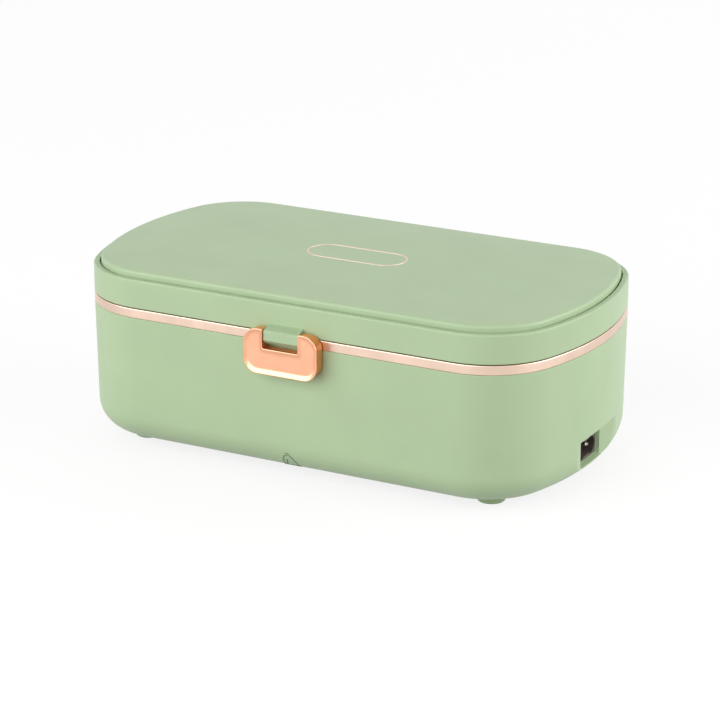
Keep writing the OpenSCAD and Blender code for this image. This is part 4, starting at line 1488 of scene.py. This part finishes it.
@dataclass
class Inside:
    """What shows with the lid open: well, tray, cover, seals and plug."""

    outline: Outline

    def tray(self) -> Sheet:
        """The pressed steel tray with its rolled flange.

        Returns:
            The mesh.
        """
        low, high = heights("food_tray")
        wall_s, lean, belly, sheet = 14 * MM, 1.2 * MM, 9 * MM, 0.8 * MM
        flange_s, roll, soft = 11.2 * MM, 2.2 * MM, 0.3 * MM
        inside, floor = 33 * MM, low + sheet
        section = rounded([(inside, low, 0), (wall_s + lean, low, belly),
                           (wall_s, high - sheet, 0.4 * MM), (flange_s + sheet, high - sheet, soft),
                           (flange_s + sheet, high - roll, soft), (flange_s, high - roll, soft),
                           (flange_s, high, 0.6 * MM), (wall_s + sheet, high, 0.9 * MM),
                           (wall_s + sheet + lean, floor, belly - sheet),
                           (inside, floor, 0)], closed=False, step=9)
        return around(self.outline, section)

    def seal(self, node: str, name: str, body: str, middle_s: float, width: float) -> None:
        """One silicone ring, swept round the case in its node's place.

        Args:
            node: The CAD node that it stands for.
            name: Name of the piece.
            body: Body that it rides on.
            middle_s: Distance in from the case's edge of its middle line.
            width: Its width.
        """
        low, high = heights(node)
        loop = level_loop(self.outline, middle_s, (low + high) / 2)
        sweep = RingSweep(Wardrobe.of("white_silicone"))
        ring = sweep.run(name, edge_loop(loop), Width=width, Height=high - low, Fillet=0.3 * width)
        Piece(name, ring, 50).weighted().dress("white_silicone", body, node)

    def plug(self) -> Sheet:
        """The silicone steam plug with its domed cap.

        Returns:
            The mesh.
        """
        low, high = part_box("steam_plug")
        middle = ((low[0] + high[0]) / 2, (low[1] + high[1]) / 2)
        bottom, top = low[2], high[2]
        barb, cap_z, soft = bottom + 2.4 * MM, top - 2.1 * MM, 0.3 * MM
        profile = rounded([(AXIS_R, bottom, 0), (1.6 * MM, bottom, soft), (3.7 * MM, barb, soft),
                           (2.5 * MM, barb, 0), (2.7 * MM, cap_z, 0), (7 * MM, cap_z, 0.2 * MM),
                           (7.5 * MM, cap_z + 0.6 * MM, 0.4 * MM),
                           (6.9 * MM, top - soft, 0.6 * MM), (3 * MM, top, 1 * MM),
                           (AXIS_R, top, 0)], closed=False)
        return turned(profile, middle)

    def build(self) -> None:
        """Makes and dresses what the lid closes over."""
        Piece("steel_tray", self.tray(), 50).weighted().dress("tray_steel", "tray", "food_tray")
        softened("well_liner", "well", 0.35 * MM).dress("cream_plastic", "base", "well_liner")
        softened("tray_cover", "tray_lid", 0.3 * MM).dress("clear_cover", "tray_top", "tray_cover")
        plate = softened("heat_plate", "warming_plate", 0.25 * MM)
        plate.dress("plate_aluminium", "base", "heat_plate")
        self.seal("lid_seal", "lid_gasket", "lid", 5.8 * MM, 2.0 * MM)
        self.seal("tray_seal", "cover_gasket", "tray_top", 15.9 * MM, 1.2 * MM)
        Piece("plug", self.plug(), 50).weighted().dress("white_silicone", "plug", "steam_plug")


# ---------------------------------------------------------------- fasteners


@dataclass(frozen=True)
class ScrewRow:
    """A row of equal screws that stand head down at fixed places."""

    node: str
    name: str
    body: str
    places: tuple[Pair, ...]
    head_r: float
    head_h: float
    shank_r: float
    cross: float = 0.58

    def cross_arm(self, turn: float) -> bpy.types.Object:
        """One arm of the crossed slot, as a cutter.

        Args:
            turn: Degrees that the arm is turned about the screw's axis.

        Returns:
            The cutter.
        """
        above, below, half = -0.2 * MM, 0.5 * self.head_h, 0.28 * MM
        corners = ((-1, above), (1, above), (0.8, below), (-0.8, below))
        arm = extruded([(x * self.head_r * self.cross, z) for x, z in corners],
                       lambda u, v, depth: Vector((u, depth, v)), -half, half)
        arm.transform(Matrix.Rotation(math.radians(turn), 4, "Z"))
        return Piece("slot_cutter", arm).object

    def master(self) -> bpy.types.Object:
        """One screw on the origin, head down, with a rounded head and a crossed slot.

        Returns:
            The screw's object.
        """
        low, high = heights(self.node)
        length, head_r, head_h, shank_r = high - low, self.head_r, self.head_h, self.shank_r
        profile = rounded([(AXIS_R, 0, 0), (head_r, 0, 0.45 * head_h), (head_r, head_h, 0.1 * MM),
                           (shank_r, head_h, 0), (shank_r, length - shank_r, 0),
                           (0.3 * shank_r, length, 0), (AXIS_R, length, 0)], closed=False)
        screw = Piece("screw_master", turned(profile, facets=28)).object
        for turn in (0, 90):
            cutter = self.cross_arm(turn)
            carve = screw.modifiers.new("slot", "BOOLEAN")
            carve.object = cutter
            carve.operation = "DIFFERENCE"
            finished = screw.evaluated_get(bpy.context.evaluated_depsgraph_get())
            data = bpy.data.meshes.new_from_object(finished)
            screw.modifiers.clear()
            screw.data = data
            bpy.data.objects.remove(cutter)
        return screw

    def build(self) -> None:
        """Sets the screws and dresses them as one piece."""
        low = heights(self.node)[0]
        master = self.master()
        tree = Scatter(master, Wardrobe.of("screw_steel"))
        sheet = tree.run(self.name, wires([Vector((x, y, low)) for x, y in self.places]), Scale=1.0)
        bpy.data.objects.remove(master)
        Piece(self.name, sheet).weighted().dress("screw_steel", self.body, self.node)


def screw_rows() -> list[ScrewRow]:
    """The rows of screws that show: under the base, and inside the lid.

    Returns:
        The rows.
    """
    head, lid_head = 2.7 * MM, 2.3 * MM
    corner, lid_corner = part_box("base_screws")[1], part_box("lid_screws")[1]
    base = tuple((sx * (corner[0] - head), sy * (corner[1] - head))
                 for sx in (-1, 1) for sy in (-1, 1))
    lid = tuple((sx * (lid_corner[0] - lid_head), sy * (lid_corner[1] - lid_head))
                for sx in (-1, 0, 1) for sy in (-1, 1))
    return [ScrewRow("base_screws", "underside_screws", "base", base, head, 1.8 * MM, 1.4 * MM),
            ScrewRow("lid_screws", "liner_screws", "lid", lid, lid_head, 1.4 * MM, 1.1 * MM)]


# ---------------------------------------------------------------- studio


@dataclass
class Studio:
    """Camera, lamps, white surroundings and floor."""

    azimuth: float = 28.02
    elevation: float = 18.9
    distance: float = 1251.13 * MM
    aim: tuple[float, float, float] = (0.39 * MM, 0.0, 36.39 * MM)
    lens: float = 140.74
    sensor: float = 36
    floor_size: float = 6.0
    floor_tones: Pair = (0.44, 0.46)
    floor_cloud: float = 0.4
    floor_glow: float = 1.05
    floor_pale: float = 0.95
    shadow: float = 0.22
    lamp_away: float = 1.5
    world_light: float = 0.29

    def camera(self) -> None:
        """Places the camera at the view's angle."""
        away = direction(self.azimuth, self.elevation)
        data = bpy.data.cameras.new("camera")
        data.lens = self.lens
        data.sensor_width = self.sensor
        camera = placed("camera", data)
        camera.location = Vector(self.aim) + away * self.distance
        camera.rotation_euler = away.to_track_quat("Z", "Y").to_euler()
        bpy.context.scene.camera = camera

    def lamp(self, name: str, azimuth: float, elevation: float, size: Pair, watts: float,
             mirrored: bool = True) -> None:
        """Adds one soft area lamp that points at the middle of the object.

        Args:
            name: Name of the lamp.
            azimuth: Degrees round the object from -Y towards +X.
            elevation: Degrees above the floor.
            size: Width and height in metres.
            watts: Power.
            mirrored: Whether glossy surfaces reflect it.
        """
        place = Vector(self.aim) + self.lamp_away * direction(azimuth, elevation)
        data = bpy.data.lights.new(name, "AREA")
        data.shape = "RECTANGLE"
        data.size, data.size_y = size
        data.energy = watts
        lamp = placed(name, data)
        lamp.location = place
        lamp.rotation_euler = (place - Vector(self.aim)).to_track_quat("Z", "Y").to_euler()
        lamp.visible_glossy = mirrored

    @staticmethod
    def looked_at(tree: bpy.types.NodeTree) -> Socket:
        """A value that is 1 where the camera, a mirror or a lens looks at a surface.

        Args:
            tree: Node tree of a material or the world.

        Returns:
            The value's socket.
        """
        rays = tree.nodes.new("ShaderNodeLightPath")
        total = rays.outputs["Is Camera Ray"]
        for kind in ("Is Glossy Ray", "Is Transmission Ray"):
            either = tree.nodes.new("ShaderNodeMath")
            either.operation = "MAXIMUM"
            tree.links.new(total, either.inputs[0])
            tree.links.new(rays.outputs[kind], either.inputs[1])
            total = either.outputs["Value"]
        return total

    def surroundings(self) -> None:
        """Makes the world: plain light, and white where the camera or a reflection sees it."""
        world = bpy.data.worlds.new("studio")
        bpy.context.scene.world = world
        world.use_nodes = True
        tree = world.node_tree
        lit = tree.nodes["Background"]
        seen = tree.nodes.new("ShaderNodeBackground")
        for background, strength in ((lit, self.world_light), (seen, 1.0)):
            background.inputs["Color"].default_value = (1, 1, 1, 1)
            background.inputs["Strength"].default_value = strength
        mix = tree.nodes.new("ShaderNodeMixShader")
        tree.links.new(self.looked_at(tree), mix.inputs["Fac"])
        tree.links.new(lit.outputs["Background"], mix.inputs[1])
        tree.links.new(seen.outputs["Background"], mix.inputs[2])
        tree.links.new(mix.outputs["Shader"], tree.nodes["World Output"].inputs["Surface"])

    def floor(self) -> None:
        """Lays the pale floor, which keeps only a light shadow where the camera sees it."""
        sheet = bmesh.new()
        half = self.floor_size / 2
        corners = ((-half, -half), (half, -half), (half, half), (-half, half))
        sheet.faces.new([sheet.verts.new((x, y, 0)) for x, y in corners])
        data = bpy.data.meshes.new("floor")
        sheet.to_mesh(data)
        sheet.free()
        floor = placed("floor", data)
        paint = NodeSheet("floor_paint")
        paint.tint(paint.noise(self.floor_cloud), *((tone,) * 3 for tone in self.floor_tones))
        paint.fixed(Roughness=0.9, Specular_IOR_Level=0.1)
        pale = paint.add("ShaderNodeBsdfDiffuse")
        pale.inputs["Color"].default_value = (*(self.floor_pale,) * 3, 1)
        white = paint.add("ShaderNodeEmission")
        white.inputs["Strength"].default_value = self.floor_glow
        seen = paint.add("ShaderNodeMixShader")
        seen.inputs["Fac"].default_value = 1 - self.shadow
        paint.wire(pale.outputs["BSDF"], seen.inputs[1])
        paint.wire(white.outputs["Emission"], seen.inputs[2])
        either = paint.add("ShaderNodeMixShader")
        paint.wire(self.looked_at(paint.tree), either.inputs["Fac"])
        paint.wire(paint.shader.outputs["BSDF"], either.inputs[1])
        paint.wire(seen.outputs["Shader"], either.inputs[2])
        paint.wire(either.outputs["Shader"], paint.tree.nodes["Material Output"].inputs["Surface"])
        data.materials.append(paint.material)

    def build(self) -> None:
        """Sets up the whole studio."""
        self.camera()
        self.surroundings()
        self.floor()
        self.lamp("front_softbox", -24, 22, (2.2, 1.35), 25)
        self.lamp("end_softbox", 105, 14, (1.4, 1.2), 22)
        self.lamp("back_softbox", 200, 32, (2.2, 1.35), 6, mirrored=False)
        bpy.context.scene.view_settings.view_transform = "Standard"


# ---------------------------------------------------------------- carried pieces


class CarriedNodes:
    """CAD nodes whose own shape is shown, dressed in their slots' finishes."""

    def build(self) -> None:
        """Dresses every node by its slot in the record."""
        slots = {row["node"]: row["material_slot"] for row in frame["record"]["subparts"]}
        for name, node in frame["nodes"].items():
            node.data.materials.clear()
            node.data.materials.append(Wardrobe.of(slots[name]))
            LOG.info("%s wears %s", name, slots[name])


def main() -> None:
    """Builds the studio and dresses the lunch box, piece by piece."""
    logging.basicConfig(level=logging.INFO, format="%(message)s")
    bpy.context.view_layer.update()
    outline = Outline(235 * MM, 130 * MM)
    Studio().build()
    CarriedNodes().build()
    LowerCase(outline).build()
    Lid(outline).build()
    Clasp().build()
    Inside(outline).build()
    for row in screw_rows():
        row.build()


if __name__ == "__main__":
    main()
